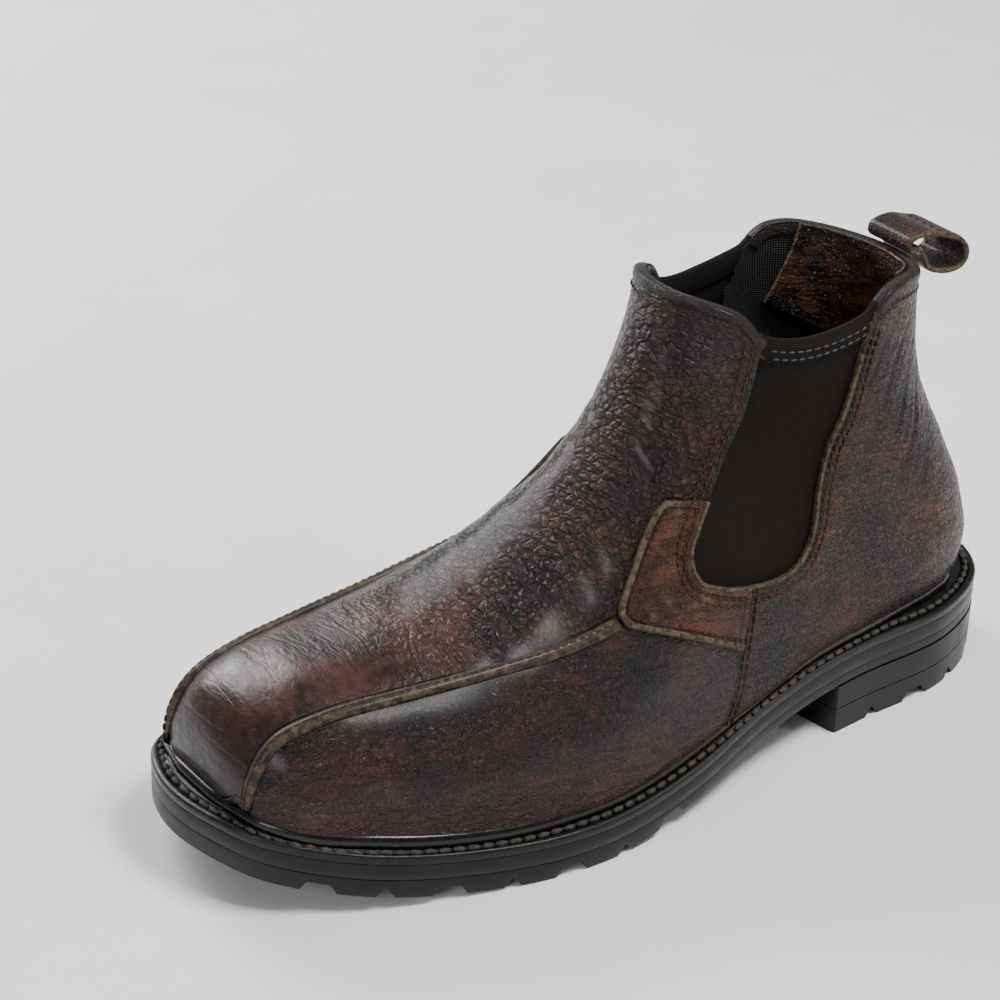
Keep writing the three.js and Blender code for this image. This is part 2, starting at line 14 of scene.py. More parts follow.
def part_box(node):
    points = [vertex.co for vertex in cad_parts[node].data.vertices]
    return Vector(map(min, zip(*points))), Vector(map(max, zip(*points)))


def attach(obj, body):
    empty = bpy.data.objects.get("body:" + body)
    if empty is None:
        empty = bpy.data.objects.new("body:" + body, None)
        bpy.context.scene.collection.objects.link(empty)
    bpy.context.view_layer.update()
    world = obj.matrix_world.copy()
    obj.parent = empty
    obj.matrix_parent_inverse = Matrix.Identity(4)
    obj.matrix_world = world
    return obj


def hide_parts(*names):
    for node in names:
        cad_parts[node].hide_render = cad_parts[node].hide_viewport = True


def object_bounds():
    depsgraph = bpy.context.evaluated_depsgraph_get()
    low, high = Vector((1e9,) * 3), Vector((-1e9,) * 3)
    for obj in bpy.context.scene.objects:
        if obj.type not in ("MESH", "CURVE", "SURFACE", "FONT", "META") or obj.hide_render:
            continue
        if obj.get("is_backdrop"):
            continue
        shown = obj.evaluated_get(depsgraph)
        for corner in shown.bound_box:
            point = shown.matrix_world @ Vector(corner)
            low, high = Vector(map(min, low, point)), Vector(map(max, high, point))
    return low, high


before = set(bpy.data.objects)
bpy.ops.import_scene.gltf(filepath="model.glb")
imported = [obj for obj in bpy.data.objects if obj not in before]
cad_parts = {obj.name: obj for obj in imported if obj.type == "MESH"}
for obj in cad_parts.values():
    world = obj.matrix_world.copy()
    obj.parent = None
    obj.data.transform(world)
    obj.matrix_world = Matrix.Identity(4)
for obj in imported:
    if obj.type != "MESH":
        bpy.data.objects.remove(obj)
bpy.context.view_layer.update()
MM = 0.001

# %% [markdown]
# ## The last
# A shoemaker builds a boot round a last, a solid foot shape. All leather pieces here are offsets of one such
# surface, so they nest without gaps. Its sections fan out from the toe, round the instep and up the shaft.
# Each section is a superellipse between a front point and a back point on the centre plane.

# %% Sections of the last, in drawn millimetres
# front y z, back y z, half width outer inner, place of the widest point, powers, drift in x
SECTIONS = np.array([
    [-147.5, 25, -147, 19, 5, 5, 0.5, 2.2, 2.2, -4, -4],
    [-148.3, 38, -143, 15, 21, 20, 0.66, 2.5, 2.4, -4, -4],
    [-145, 49, -137.5, 13, 31, 29, 0.72, 2.4, 2.6, -4, -4],
    [-136.5, 58, -129, 11, 38, 35, 0.74, 2.3, 2.8, -3, -3],
    [-121, 62.5, -115, 9, 43.5, 40.5, 0.76, 2.3, 3, -2, -3],
    [-98, 65.5, -94, 8, 49, 45, 0.77, 2.3, 3, -1, -1],
    [-70, 71.5, -64, 7, 54, 46, 0.78, 2.2, 3, 0, 1],
    [-43, 83, -30, 8, 54, 43, 0.79, 2.1, 3, 0, 3],
    [-21, 98, 12, 13, 48, 39, 0.79, 2.1, 3, 0, 3],
    [-8, 112, 56, 19, 42, 36, 0.78, 2.2, 2.9, 0, 1],
    [-2, 122, 98, 21, 38, 36, 0.76, 2.3, 2.6, 0, 0],
    [1, 129, 129, 25, 36.5, 36, 0.74, 2.35, 2.3, 0, 0],
    [3.5, 135, 140.5, 40, 35.5, 35.5, 0.71, 2.4, 2.1, 0, 0],
    [6, 141, 137, 60, 34.5, 34.5, 0.66, 2.4, 2.1, 0, 0],
    [8, 147, 126.5, 82, 33.5, 33.5, 0.6, 2.4, 2.1, 0, 0],
    [10, 153, 115.5, 104, 33, 33, 0.54, 2.4, 2.1, 0, 0],
    [12.5, 161, 109, 130, 33.5, 33.5, 0.5, 2.4, 2.2, 0, 0],
    [14.5, 171, 109, 158, 34, 34, 0.5, 2.4, 2.2, 0, 0],
])


def blend_rows(t):
    """Uniform Catmull-Rom through the section table, at t from 0 to 1."""
    last_row = len(SECTIONS) - 1
    table = np.vstack([2 * SECTIONS[0] - SECTIONS[1], SECTIONS, 2 * SECTIONS[-1] - SECTIONS[-2]])
    place = np.minimum((np.clip(t, 0, 1) * last_row).astype(int), last_row - 1)
    f = (np.clip(t, 0, 1) * last_row - place)[..., None]
    a, b, c, d = (table[place + k] for k in range(4))
    return b + 0.5 * f * (c - a + f * (2 * a - 5 * b + 4 * c - d + f * (3 * (b - c) + d - a)))


def last_point(t, turn):
    """Point on the last; turn 0 is the front line, +1 and -1 the back line, positive on the outer side."""
    t, turn = np.broadcast_arrays(np.asarray(t, float), np.asarray(turn, float))
    turn = np.where(turn > 1, turn - 2, np.where(turn < -1, turn + 2, turn))
    rows = np.moveaxis(blend_rows(t), -1, 0)
    front_y, front_z, back_y, back_z, outer, inner, widest, front_power, back_power, front_x, back_x = rows
    angle = np.abs(turn) * np.pi
    in_front = angle <= np.pi / 2
    power = 2 / np.where(in_front, front_power, back_power)
    bow = np.abs(np.cos(angle)) ** power
    share = np.where(in_front, widest * (1 - bow), widest + (1 - widest) * bow)
    half = np.where(turn >= 0, outer, -inner) * np.abs(np.sin(angle)) ** power
    return np.stack([
        front_x + (back_x - front_x) * share + half,
        front_y + (back_y - front_y) * share,
        front_z + (back_z - front_z) * share,
    ], -1)


def last_normal(t, turn, step=0.006):
    low, high = np.clip(t - step, 0, 1), np.clip(t + step, 0, 1)
    onward = last_point(high, turn) - last_point(low, turn)
    around = last_point(t, turn + step) - last_point(t, turn - step)
    normal = np.cross(around, onward)
    return normal / np.maximum(np.linalg.norm(normal, axis=-1, keepdims=True), 1e-9)


def skin(t, turn, offset=0.0):
    """Point on the last's surface moved out by an offset in millimetres."""
    t, turn = np.broadcast_arrays(np.asarray(t, float), np.asarray(turn, float))
    return last_point(t, turn) + last_normal(t, turn) * np.asarray(offset, float)[..., None]


# %% [markdown]
# ## Curves and heights
# Seams are drawn as the pattern cutter would: a few points seen from the side or from above, joined by a
# smooth curve. The sole's edge is one closed curve, and the welt's top follows a height along the boot.

# %% Curves
def smooth_curve(points, count, closed=False, alpha=0.0):
    """Catmull-Rom through points (alpha 0.5 is centripetal), resampled to even steps along its length."""
    points = np.asarray(points, float)
    if closed:
        chain = np.vstack([points[-1], points, points[0], points[1]])
    else:
        chain = np.vstack([2 * points[0] - points[1], points, 2 * points[-1] - points[-2]])
    f = np.linspace(0, 1, 24, endpoint=False)[:, None]
    dense = []
    for a, b, c, d in zip(chain, chain[1:], chain[2:], chain[3:]):
        ta, tb, tc = (max(np.linalg.norm(q - p), 1e-6) ** alpha for p, q in ((a, b), (b, c), (c, d)))
        slope_b = tb * ((b - a) / ta - (c - a) / (ta + tb) + (c - b) / tb)
        slope_c = tb * ((c - b) / tb - (d - b) / (tb + tc) + (d - c) / tc)
        rise = 2 * b - 2 * c + slope_b + slope_c
        bend = -3 * b + 3 * c - 2 * slope_b - slope_c
        dense.append(rise * f**3 + bend * f**2 + slope_b * f + b)
    dense = np.vstack(dense + [points[:1] if closed else points[-1:]])
    walk = np.concatenate([[0], np.cumsum(np.linalg.norm(np.diff(dense, axis=0), axis=1))])
    stops = np.linspace(0, walk[-1], count + 1 if closed else count)
    even = np.stack([np.interp(stops, walk, dense[:, k]) for k in range(dense.shape[1])], -1)
    return even[:-1] if closed else even


SOLE_OUTLINE = [
    (-6, -156), (24, -148), (42, -124), (55, -85), (61, -50), (57, -9), (47, 31), (41, 75), (37, 115),
    (22, 141), (0, 150), (-23, 141), (-38, 115), (-40, 75), (-39, 30), (-45, -15), (-56, -62),
    (-57.5, -97), (-46, -130), (-30, -149),
]
OUTER_SEAM = [
    (20, -160), (20, -149), (20.5, -138), (22, -129), (26, -108), (33, -77), (38, -55),
    (40, -40), (40.5, -29),
]
INNER_SEAM = [
    (-24, -160), (-24, -149), (-25, -138), (-25.4, -129), (-27, -108), (-29, -77), (-30.3, -55),
    (-30.7, -40), (-30.7, -29),
]
TOP_LINE = [
    (-20, 155.5), (-5, 155.5), (4, 155.5), (11, 155), (18, 152.8), (24, 150), (28, 146), (32, 141.6),
    (43, 139.4), (55, 140), (66, 142), (71.5, 144), (75, 147.5), (80, 150), (88, 150.4), (98, 148.6),
    (108, 146.4), (120, 145), (140, 145),
]
WINDOW_FRONT = [(31.5, 160), (31, 141), (27, 118), (14.5, 98), (4, 85.5), (0.2, 78)]
WINDOW_REAR = [
    (0.2, 78), (3, 72), (13.5, 67.5), (28, 64.3), (39, 63.8), (47, 67), (52, 75), (54, 86), (57, 100),
    (62.5, 112), (68, 131.5), (72, 144), (75, 160),
]
REAR_SEAM = [(3, 10), (6, 20), (9, 28), (12.5, 35.5), (16, 47.5), (20, 60), (22, 66)]


def smoothstep(value, start, end):
    x = np.clip((np.asarray(value, float) - start) / (end - start), 0, 1)
    return x * x * (3 - 2 * x)


def welt_top(y):
    spring = np.clip((-60 - y) / 93, 0, 1) ** 2
    return 14.7 + 13.3 * spring + 15.2 * smoothstep(y, -45, 75)


def outsole_bottom(y):
    return welt_top(y) - 14.7 + 2.7 * smoothstep(y, -38, 0)


top_curve = smooth_curve(TOP_LINE, 200)


def top_height(y):
    return np.interp(y, top_curve[:, 0], top_curve[:, 1])


edge_curve = smooth_curve(SOLE_OUTLINE, 2000, closed=True, alpha=0.5)
welt_low, welt_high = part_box("welt")
ORIGIN = np.array([
    welt_low.x / MM - edge_curve[:, 0].min(),
    welt_low.y / MM - edge_curve[:, 1].min(),
    0.0,
])
print("drawn origin sits at", ORIGIN.round(2), "mm in the frame")


def placed(points):
    """Drawn millimetres to metres in the frame."""
    return (np.asarray(points, float) + ORIGIN) * MM


# %% [markdown]
# ## From a seam to the last
# A point seen from the side or from above has to be found again as (t, turn) on the last. A coarse grid gives
# the nearest place and a few Newton steps finish it.

# %% Find places on the last
SEARCH_T, SEARCH_TURN = np.meshgrid(np.linspace(0, 1, 260), np.linspace(0.002, 0.998, 160), indexing="ij")


def find_on_last(targets, axes, side, turn_limit=1.0):
    """(t, turn) where the two given axes of the surface equal the targets, on one side of the boot."""
    targets = np.asarray(targets, float)
    keep = SEARCH_TURN < turn_limit
    t_all, turn_all = SEARCH_T[keep], SEARCH_TURN[keep] * side
    cloud = last_point(t_all, turn_all)[:, axes]
    t, turn = np.empty(len(targets)), np.empty(len(targets))
    for k, target in enumerate(targets):
        best = ((cloud - target) ** 2).sum(1).argmin()
        t[k], turn[k] = t_all[best], turn_all[best]
    for _ in range(6):
        here = last_point(t, turn)[:, axes]
        d_t = (last_point(np.minimum(t + 1e-4, 1), turn)[:, axes] - here) / 1e-4
        d_turn = (last_point(t, turn + 1e-4)[:, axes] - here) / 1e-4
        miss = targets - here
        det = d_t[:, 0] * d_turn[:, 1] - d_t[:, 1] * d_turn[:, 0]
        det = np.where(np.abs(det) < 1e-6, 1e-6, det)
        step_t = (miss[:, 0] * d_turn[:, 1] - miss[:, 1] * d_turn[:, 0]) / det
        step_turn = (d_t[:, 0] * miss[:, 1] - d_t[:, 1] * miss[:, 0]) / det
        t = np.clip(t + np.clip(step_t, -0.02, 0.02), 0, 1)
        turn = side * np.clip(side * (turn + np.clip(step_turn, -0.02, 0.02)), 0, 1)
    return t, turn


def turn_at_height(t, side, rise):
    """Turn where a section crosses the height welt top + rise; 0 if it is all below, 1 if all above."""
    low, high = np.zeros_like(t), np.ones_like(t)
    for _ in range(30):
        middle = (low + high) / 2
        point = last_point(t, side * middle)
        above = point[..., 2] > welt_top(point[..., 1]) + rise
        low, high = np.where(above, middle, low), np.where(above, high, middle)
    return (low + high) / 2


def t_at_top(turn, drop=0.0):
    """t where the last crosses the top line lowered by drop, for each turn."""
    low, high = np.full_like(turn, 0.75), np.ones_like(turn)
    for _ in range(30):
        middle = (low + high) / 2
        point = last_point(middle, turn)
        below = point[..., 2] < top_height(point[..., 1]) - drop
        low, high = np.where(below, middle, low), np.where(below, high, middle)
    return (low + high) / 2


def t_at_toe(turn, rise):
    """t near the toe where the last rises out of the welt, for each turn."""
    low, high = np.zeros_like(turn), np.full_like(turn, 0.2)
    for _ in range(30):
        middle = (low + high) / 2
        point = last_point(middle, turn)
        under = point[..., 2] < welt_top(point[..., 1]) + rise
        low, high = np.where(under, middle, low), np.where(under, high, middle)
    return (low + high) / 2


SIDES = {}
for side, suffix, seam in ((1, "outer", OUTER_SEAM), (-1, "inner", INNER_SEAM)):
    seam_line = smooth_curve(seam, 60)
    seam_line = seam_line[seam_line[:, 1] > -149.5]
    places = {
        "seam": find_on_last(seam_line, [0, 1], side, 0.5),
        "front": find_on_last(smooth_curve(WINDOW_FRONT, 60)[8:], [1, 2], side),
        "rear": find_on_last(smooth_curve(WINDOW_REAR, 90)[:-9], [1, 2], side),
        "rear_seam": find_on_last(smooth_curve(REAR_SEAM, 40)[8:], [1, 2], side),
    }
    SIDES[suffix] = {"side": side, **places}
    print(suffix, {k: (round(float(v[0].min()), 3), round(float(v[0].max()), 3)) for k, v in places.items()})


def along_t(place, t):
    """Absolute turn of a seam, read at t."""
    order = np.argsort(place[0])
    return np.interp(t, place[0][order], np.abs(place[1][order]))


# %% [markdown]
# ## Leather pieces as sheets
# A leather piece starts as a flat grid whose corners are carried to the last. The grid keeps its rows along
# the boot and its columns round it, so a solidify modifier can give it the true thickness and every corner
# knows how far it is from the cut edge. Materials use that distance for dark dye and wear along the edges,
# and for painted shade in the stitched furrows beside them.

# %% Sheet builder
def finish_mesh(bm, name, body, nodes, slots, uv_grid=None, edge=None):
    """Turn a bmesh into a finished object on a body, in the place of the named CAD nodes.

    slots pairs each material with a slot name, which is not used; the materials go on in order, the first is the main
    one.
    """
    mesh = bpy.data.meshes.new(name)
    bm.to_mesh(mesh)
    bm.free()
    mesh.shade_smooth()
    if uv_grid is not None:
        uv = mesh.uv_layers.new(name="flat")
        corners = np.empty(len(mesh.loops), int)
        mesh.loops.foreach_get("vertex_index", corners)
        uv.data.foreach_set("uv", np.ascontiguousarray(uv_grid.reshape(-1, 2)[corners], np.float32).ravel())
    if edge is not None:
        mesh.attributes.new("edge", "FLOAT", "POINT").data.foreach_set("value", np.float32(edge).ravel())
    obj = bpy.data.objects.new(name, mesh)
    bpy.context.collection.objects.link(obj)
    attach(obj, body)
    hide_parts(*nodes)
    for material, _ in slots:
        mesh.materials.append(material)
    print(name, len(mesh.vertices), "corners", len(mesh.polygons), "faces")
    return obj


def grid_bmesh(points):
    """A bmesh grid whose vertices sit at points[row, column], in drawn millimetres."""
    rows, columns = points.shape[:2]
    bm = bmesh.new()
    bmesh.ops.create_grid(bm, x_segments=columns - 1, y_segments=rows - 1, size=1)
    for vertex, point in zip(bm.verts, placed(points).reshape(-1, 3)):
        vertex.co = point
    return bm


def soft_edge(obj, width, angle):
    """Round every edge sharper than an angle in degrees, by a width in millimetres."""
    bevel = obj.modifiers.new("Soft edge", "BEVEL")
    bevel.width = width * MM
    bevel.segments = 2
    bevel.limit_method = "ANGLE"
    bevel.angle_limit = math.radians(angle)


def arc_lengths(points, axis):
    """Distance walked along one axis of a grid of points, from its first row or column."""
    step = np.linalg.norm(np.diff(points, axis=axis), axis=-1)
    start = np.zeros_like(np.take(step, [0], axis))
    return np.cumsum(np.concatenate([start, step], axis), axis)


FAR_FROM_EDGE = 50.0


def sheet(name, t, turn, offset, thickness, nodes, slots, cut="LRBT", waves=None):
    """A sheet on the last, offset mm out; cut names its visible cut sides (left, right, bottom, top)."""
    points = skin(t, turn, offset + (waves(t, turn) if waves else 0))
    across, up = arc_lengths(points, 1), arc_lengths(points, 0)
    gaps = {"L": across, "R": across[:, -1:] - across, "B": up, "T": up[-1:] - up}
    edge = np.minimum.reduce([gaps[c] for c in cut]) if cut else np.full(t.shape, FAR_FROM_EDGE)
    middle = slice(t.shape[1] // 2, t.shape[1] // 2 + 1)
    flat = np.stack([across - across[:, middle], np.broadcast_to(up[:, middle], t.shape)], -1)
    obj = finish_mesh(grid_bmesh(points), name, "boot", nodes, slots, flat, edge)
    solid = obj.modifiers.new("Thickness", "SOLIDIFY")
    solid.thickness = thickness * MM
    solid.offset = -1
    if len(slots) > 1:
        solid.material_offset_rim = 1
    soft_edge(obj, min(0.45, thickness * 0.35), 50)
    return obj


# %% [markdown]
# ## Strips, beads and rims as sweeps
# Piping, rims, the rand and the raw edge of the patch are all one section carried along a line. Each section
# is a list of (across, out) millimetres, placed in the frame of the line's own side direction and normal.

# %% Sweep builder
def line_frame(points, normals, closed):
    ahead = np.roll(points, -1, 0) if closed else np.vstack([points[1:], 2 * points[-1] - points[-2]])
    behind = np.roll(points, 1, 0) if closed else np.vstack([2 * points[0] - points[1], points[:-1]])
    tangent = ahead - behind
    tangent /= np.linalg.norm(tangent, axis=1, keepdims=True)
    side = np.cross(normals, tangent)
    side /= np.linalg.norm(side, axis=1, keepdims=True)
    out = np.cross(tangent, side)
    return tangent, side, out


def sweep_points(points, normals, section, closed=False):
    """Section [(across, out)] swept along a line; returns points[station, corner]."""
    _, side, out = line_frame(points, normals, closed)
    across, lift = np.asarray(section, float).T[:, None, :, None]
    return points[:, None] + side[:, None] * across + out[:, None] * lift


def sweep_bmesh(rings, closed):
    """Roll a grid up into a tube through rings[station, corner]; an open tube gets its two ends filled."""
    stations, corners = rings.shape[:2]
    rows = np.concatenate([rings, rings[:, :1]], 1)
    if closed:
        rows = np.concatenate([rows, rows[:1]], 0)
    bm = grid_bmesh(rows)
    bm.verts.ensure_lookup_table()
    welds = {}
    for row in range(len(rows)):
        welds[bm.verts[row * (corners + 1) + corners]] = bm.verts[row % stations * (corners + 1)]
    if closed:
        for corner in range(corners):
            welds[bm.verts[stations * (corners + 1) + corner]] = bm.verts[corner]
    bmesh.ops.weld_verts(bm, targetmap=welds)
    if not closed:
        bmesh.ops.holes_fill(bm, edges=[e for e in bm.edges if e.is_boundary], sides=0)
    bmesh.ops.recalc_face_normals(bm, faces=bm.faces)
    return bm


def ring_uv(rings):
    """Flat coordinates of a tube: millimetres round it and millimetres along it."""
    round_it, along = arc_lengths(rings, 1), arc_lengths(rings, 0)
    return np.stack([round_it, np.broadcast_to(along[:, :1], round_it.shape)], -1)


def swept(name, points, normals, section, nodes, slots, closed=False):
    rings = sweep_points(points, normals, section, closed)
    edge = np.broadcast_to(np.abs(np.asarray(section)[:, 0]), rings.shape[:2])
    return finish_mesh(sweep_bmesh(rings, closed), name, "boot", nodes, slots, ring_uv(rings), edge)


def pill(width, height, sink=0.4, count=14):
    """Half-round strip section: flat bottom sunk below the surface, rounded top."""
    half, squareness = width / 2, 0.75
    angle = np.linspace(0, math.pi, count)
    across = -half * np.sign(np.cos(angle)) * np.abs(np.cos(angle)) ** squareness
    lift = height * np.maximum(np.sin(angle), 0) ** squareness
    return [(-half, -sink), *zip(across, lift), (half, -sink)]


# %% [markdown]
# ## Stitches
# A lockstitch shows as a row of short fat grains of thread, each pulled into the leather at both ends. A
# curve with a dashed texture would look flat from the side, so every stitch is a small sphere, stretched by a
# matrix into a grain and set down along the row at the stitch length. It has few faces, as there are many.

# %% Stitch builder
def stitches(name, rows, material, body="boot"):
    """rows: (points, normals, pitch, length, radius, sink) with points and normals along a seam."""
    bm = bmesh.new()
    for points, normals, pitch, length, radius, sink in rows:
        walk = np.concatenate([[0], np.cumsum(np.linalg.norm(np.diff(points, axis=0), axis=1))])
        count = max(int(walk[-1] / pitch), 2)
        stops = (np.arange(count) + 0.5) * walk[-1] / count
        centre = np.stack([np.interp(stops, walk, points[:, k]) for k in range(3)], -1)
        normal = np.stack([np.interp(stops, walk, normals[:, k]) for k in range(3)], -1)
        tangent, side, out = line_frame(centre, normal, False)
        for place, along, across, up in zip(placed(centre - out * sink), tangent, side, out):
            axes = (across * radius * MM, up * radius * MM, along * length / 2 * MM)
            turned = Matrix(axes).transposed().to_4x4()
            turned.translation = place
            bmesh.ops.create_uvsphere(bm, u_segments=6, v_segments=4, radius=1, matrix=turned)
    mesh = bpy.data.meshes.new(name)
    bm.to_mesh(mesh)
    bm.free()
    mesh.shade_smooth()
    mesh.materials.append(material)
    obj = bpy.data.objects.new(name, mesh)
    bpy.context.collection.objects.link(obj)
    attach(obj, body)
    print(name, len(mesh.polygons), "faces")
    return obj


def on_last(t, turn, offset):
    """A line on the last, as points and normals."""
    return skin(t, turn, offset), last_normal(np.asarray(t, float), np.asarray(turn, float))


def shifted(points, normals, distance):
    """The line moved sideways along the surface by a distance."""
    _, side, _ = line_frame(points, normals, False)
    return points + side * distance


def evenly(values, count):
    """Resample parallel arrays evenly in index space."""
    place = np.linspace(0, len(values[0]) - 1, count)
    return [np.interp(place, np.arange(len(v)), v) for v in values]


# %% [markdown]
# ## Materials
# All colours come from node trees. A few helpers add a node and link it in one line, so that each material
# below reads as a recipe. Coordinates are millimetres in the object's own space.

# %% Node helpers
def add(tree, kind, inputs=None, **settings):
    """Add a node, set its options, then fill or link its inputs by name or index."""
    node = tree.nodes.new(kind)
    for key, value in settings.items():
        setattr(node, key, value)
    for key, value in (inputs or {}).items():
        if isinstance(value, bpy.types.NodeSocket):
            tree.links.new(value, node.inputs[key])
        else:
            node.inputs[key].default_value = value
    return node


def maths(tree, operation, a, b=0.0):
    return add(tree, "ShaderNodeMath", {0: a, 1: b}, operation=operation).outputs[0]


def vector_maths(tree, operation, a, b):
    return add(tree, "ShaderNodeVectorMath", {0: a, 1: b}, operation=operation).outputs[0]


def axis_of(tree, vector, axis):
    """One number of a vector: axis 0, 1 or 2."""
    return add(tree, "ShaderNodeSeparateXYZ", {0: vector}).outputs[axis]


def rescale(tree, value, start, end, low=0.0, high=1.0):
    keys = {"Value": value, "From Min": start, "From Max": end, "To Min": low, "To Max": high}
    return add(tree, "ShaderNodeMapRange", keys, interpolation_type="SMOOTHSTEP").outputs[0]


def mixed(tree, factor, a, b):
    node = add(tree, "ShaderNodeMix", data_type="RGBA")
    for key, value in (("Factor_Float", factor), ("A_Color", a), ("B_Color", b)):
        socket = next(s for s in node.inputs if s.identifier == key)
        if isinstance(value, bpy.types.NodeSocket):
            tree.links.new(value, socket)
        else:
            socket.default_value = value
    return next(s for s in node.outputs if s.identifier == "Result_Color")


def noise(tree, vector, scale, detail=4.0, roughness=0.55, distortion=0.0):
    keys = {"Vector": vector, "Scale": scale, "Detail": detail, "Roughness": roughness}
    return add(tree, "ShaderNodeTexNoise", {**keys, "Distortion": distortion}).outputs[0]


def cell_walls(tree, vector, scale):
    """Distance to the nearest wall between cells."""
    keys = {"Vector": vector, "Scale": scale}
    return add(tree, "ShaderNodeTexVoronoi", keys, feature="DISTANCE_TO_EDGE").outputs[0]


def colour(code):
    """A web colour code as linear light."""
    parts = [int(code[k : k + 2], 16) / 255 for k in (1, 3, 5)]
    return (*[c / 12.92 if c <= 0.04045 else ((c + 0.055) / 1.055) ** 2.4 for c in parts], 1.0)


def group(name, inputs, outputs):
    tree = bpy.data.node_groups.new(name, "ShaderNodeTree")
    for label, kind in inputs:
        tree.interface.new_socket(label, in_out="INPUT", socket_type=kind)
    for label, kind in outputs:
        tree.interface.new_socket(label, in_out="OUTPUT", socket_type=kind)
    return tree, tree.nodes.new("NodeGroupInput").outputs, tree.nodes.new("NodeGroupOutput").inputs


def use(tree, shared, inputs=None):
    node = tree.nodes.new("ShaderNodeGroup")
    node.node_tree = shared
    for key, value in (inputs or {}).items():
        if isinstance(value, bpy.types.NodeSocket):
            tree.links.new(value, node.inputs[key])
        else:
            node.inputs[key].default_value = value
    return node.outputs


# %% [markdown]
# ### Leather grain, creases and wear
# Real grain is a net of small pebbles with fine valleys between them. Two cell textures at different sizes,
# bent by noise, give the net; the distance to the cell wall gives the valley. Pure noise would look like
# orange peel, and modelled pebbles would cost millions of faces.

# %% Grain group
VECTOR, FLOAT = "NodeSocketVector", "NodeSocketFloat"

grain_group, g_in, g_out = group(
    "Leather grain", [("Vector", VECTOR), ("Size", FLOAT)], [("Height", FLOAT), ("Net", FLOAT)])
tree = grain_group
cell_scale = maths(tree, "DIVIDE", 1.0, g_in["Size"])
bend = add(tree, "ShaderNodeTexNoise", {"Vector": g_in["Vector"], "Scale": 0.22, "Detail": 2.0})
bent = vector_maths(tree, "MULTIPLY", bend.outputs["Color"], (2.2, 2.2, 2.2))
bent = vector_maths(tree, "ADD", g_in["Vector"], bent)
bent = vector_maths(tree, "MULTIPLY", bent, (0.8, 1.2, 1.15))
coarse = cell_walls(tree, bent, cell_scale)
fine = cell_walls(tree, bent, maths(tree, "MULTIPLY", cell_scale, 2.6))
small_pebbles = maths(tree, "MULTIPLY", rescale(tree, fine, 0.0, 0.2), 0.22)
pebbles = maths(tree, "ADD", rescale(tree, coarse, 0.0, 0.24), small_pebbles)
tree.links.new(pebbles, g_out["Height"])
# Net is 1 in the grain valleys; the leathers paint shade there with it and make the valleys rougher.
tree.links.new(maths(tree, "SUBTRACT", 1.0, rescale(tree, coarse, 0.0, 0.14)), g_out["Net"])
print("grain group", len(tree.nodes), "nodes")

# %% [markdown]
# Flexing leaves long soft creases. Noise that is stretched in one direction has long hills, and the lines
# where it crosses its middle value run along them. Folding the noise there gives thin creases.

# %% Crease group
crease_group, g_in, g_out = group(
    "Long creases", [("Vector", VECTOR), ("Stretch", VECTOR), ("Scale", FLOAT)], [("Height", FLOAT)])
tree = crease_group
pulled = vector_maths(tree, "MULTIPLY", g_in["Vector"], g_in["Stretch"])
hills = noise(tree, pulled, g_in["Scale"], 3.0, 0.5, 0.9)
fold = maths(tree, "ABSOLUTE", maths(tree, "SUBTRACT", hills, 0.5))
# The height is 0 along each crease; the leathers also paint shade there from it.
tree.links.new(rescale(tree, fold, 0.0, 0.09), g_out["Height"])
print("crease group", len(tree.nodes), "nodes")

# %% [markdown]
# Wear shows as paler blotches where the dye is rubbed off, and as fine scuffs along the foot. Both are masks,
# so that each leather can set its own colours and strength.

# %% Wear group
wear_group, g_in, g_out = group(
    "Worn patches", [("Vector", VECTOR), ("Size", FLOAT), ("Amount", FLOAT)],
    [("Mask", FLOAT), ("Scratches", FLOAT)])
tree = wear_group
blotch = noise(tree, g_in["Vector"], maths(tree, "DIVIDE", 1.0, g_in["Size"]), 7.0, 0.66, 0.3)
level = maths(tree, "SUBTRACT", 0.86, maths(tree, "MULTIPLY", g_in["Amount"], 0.62))
mask = rescale(tree, maths(tree, "SUBTRACT", blotch, level), -0.09, 0.1)
scuffed = vector_maths(tree, "MULTIPLY", g_in["Vector"], (0.9, 0.16, 0.9))
scuffs = noise(tree, scuffed, 0.55, 6.0, 0.7, 1.4)
tree.links.new(mask, g_out["Mask"])
tree.links.new(rescale(tree, scuffs, 0.63, 0.72), g_out["Scratches"])
print("wear group", len(tree.nodes), "nodes")


# %% [markdown]
# ### Leather finishes
# One builder makes every leather. It starts from a dark dye, lifts a lighter colour through wear, paints
# shade into the grain valleys, the creases and the stitched furrows, and rubs the cut edge. Pull-up leather
# is waxed, so a thin clear coat sits over an uneven roughness.

# %% Leather builder
def new_material(name):
    """A material, its tree and shader, and its place on the piece in millimetres."""
    material = bpy.data.materials.new(name)
    material.use_nodes = True
    tree = material.node_tree
    coords = add(tree, "ShaderNodeTexCoord").outputs["Object"]
    mm = vector_maths(tree, "MULTIPLY", coords, (1 / MM,) * 3)
    return material, tree, tree.nodes["Principled BSDF"], mm


def attribute(tree, name):
    return add(tree, "ShaderNodeAttribute", attribute_name=name).outputs["Fac"]


def bumps(tree, shader, layers):
    """Stack height layers (height, distance in mm, strength) as bump nodes."""
    normal = None
    for height, distance, strength in layers:
        keys = {"Height": height, "Distance": distance * MM, "Strength": strength}
        if normal is not None:
            keys["Normal"] = normal
        normal = add(tree, "ShaderNodeBump", keys).outputs[0]
    tree.links.new(normal, shader.inputs["Normal"])


def faded(tree, value, share, rest=0.0):
    """The value drawn back to its resting value where the share falls below one."""
    if rest:
        value = maths(tree, "SUBTRACT", rest, value)
    value = maths(tree, "MULTIPLY", value, share)
    return maths(tree, "SUBTRACT", rest, value) if rest else value


SMOOTH_TOE, FULL_GRAIN = (-100.0, -48.0), 1.0
CALM_TOE = (-104.0, -44.0)


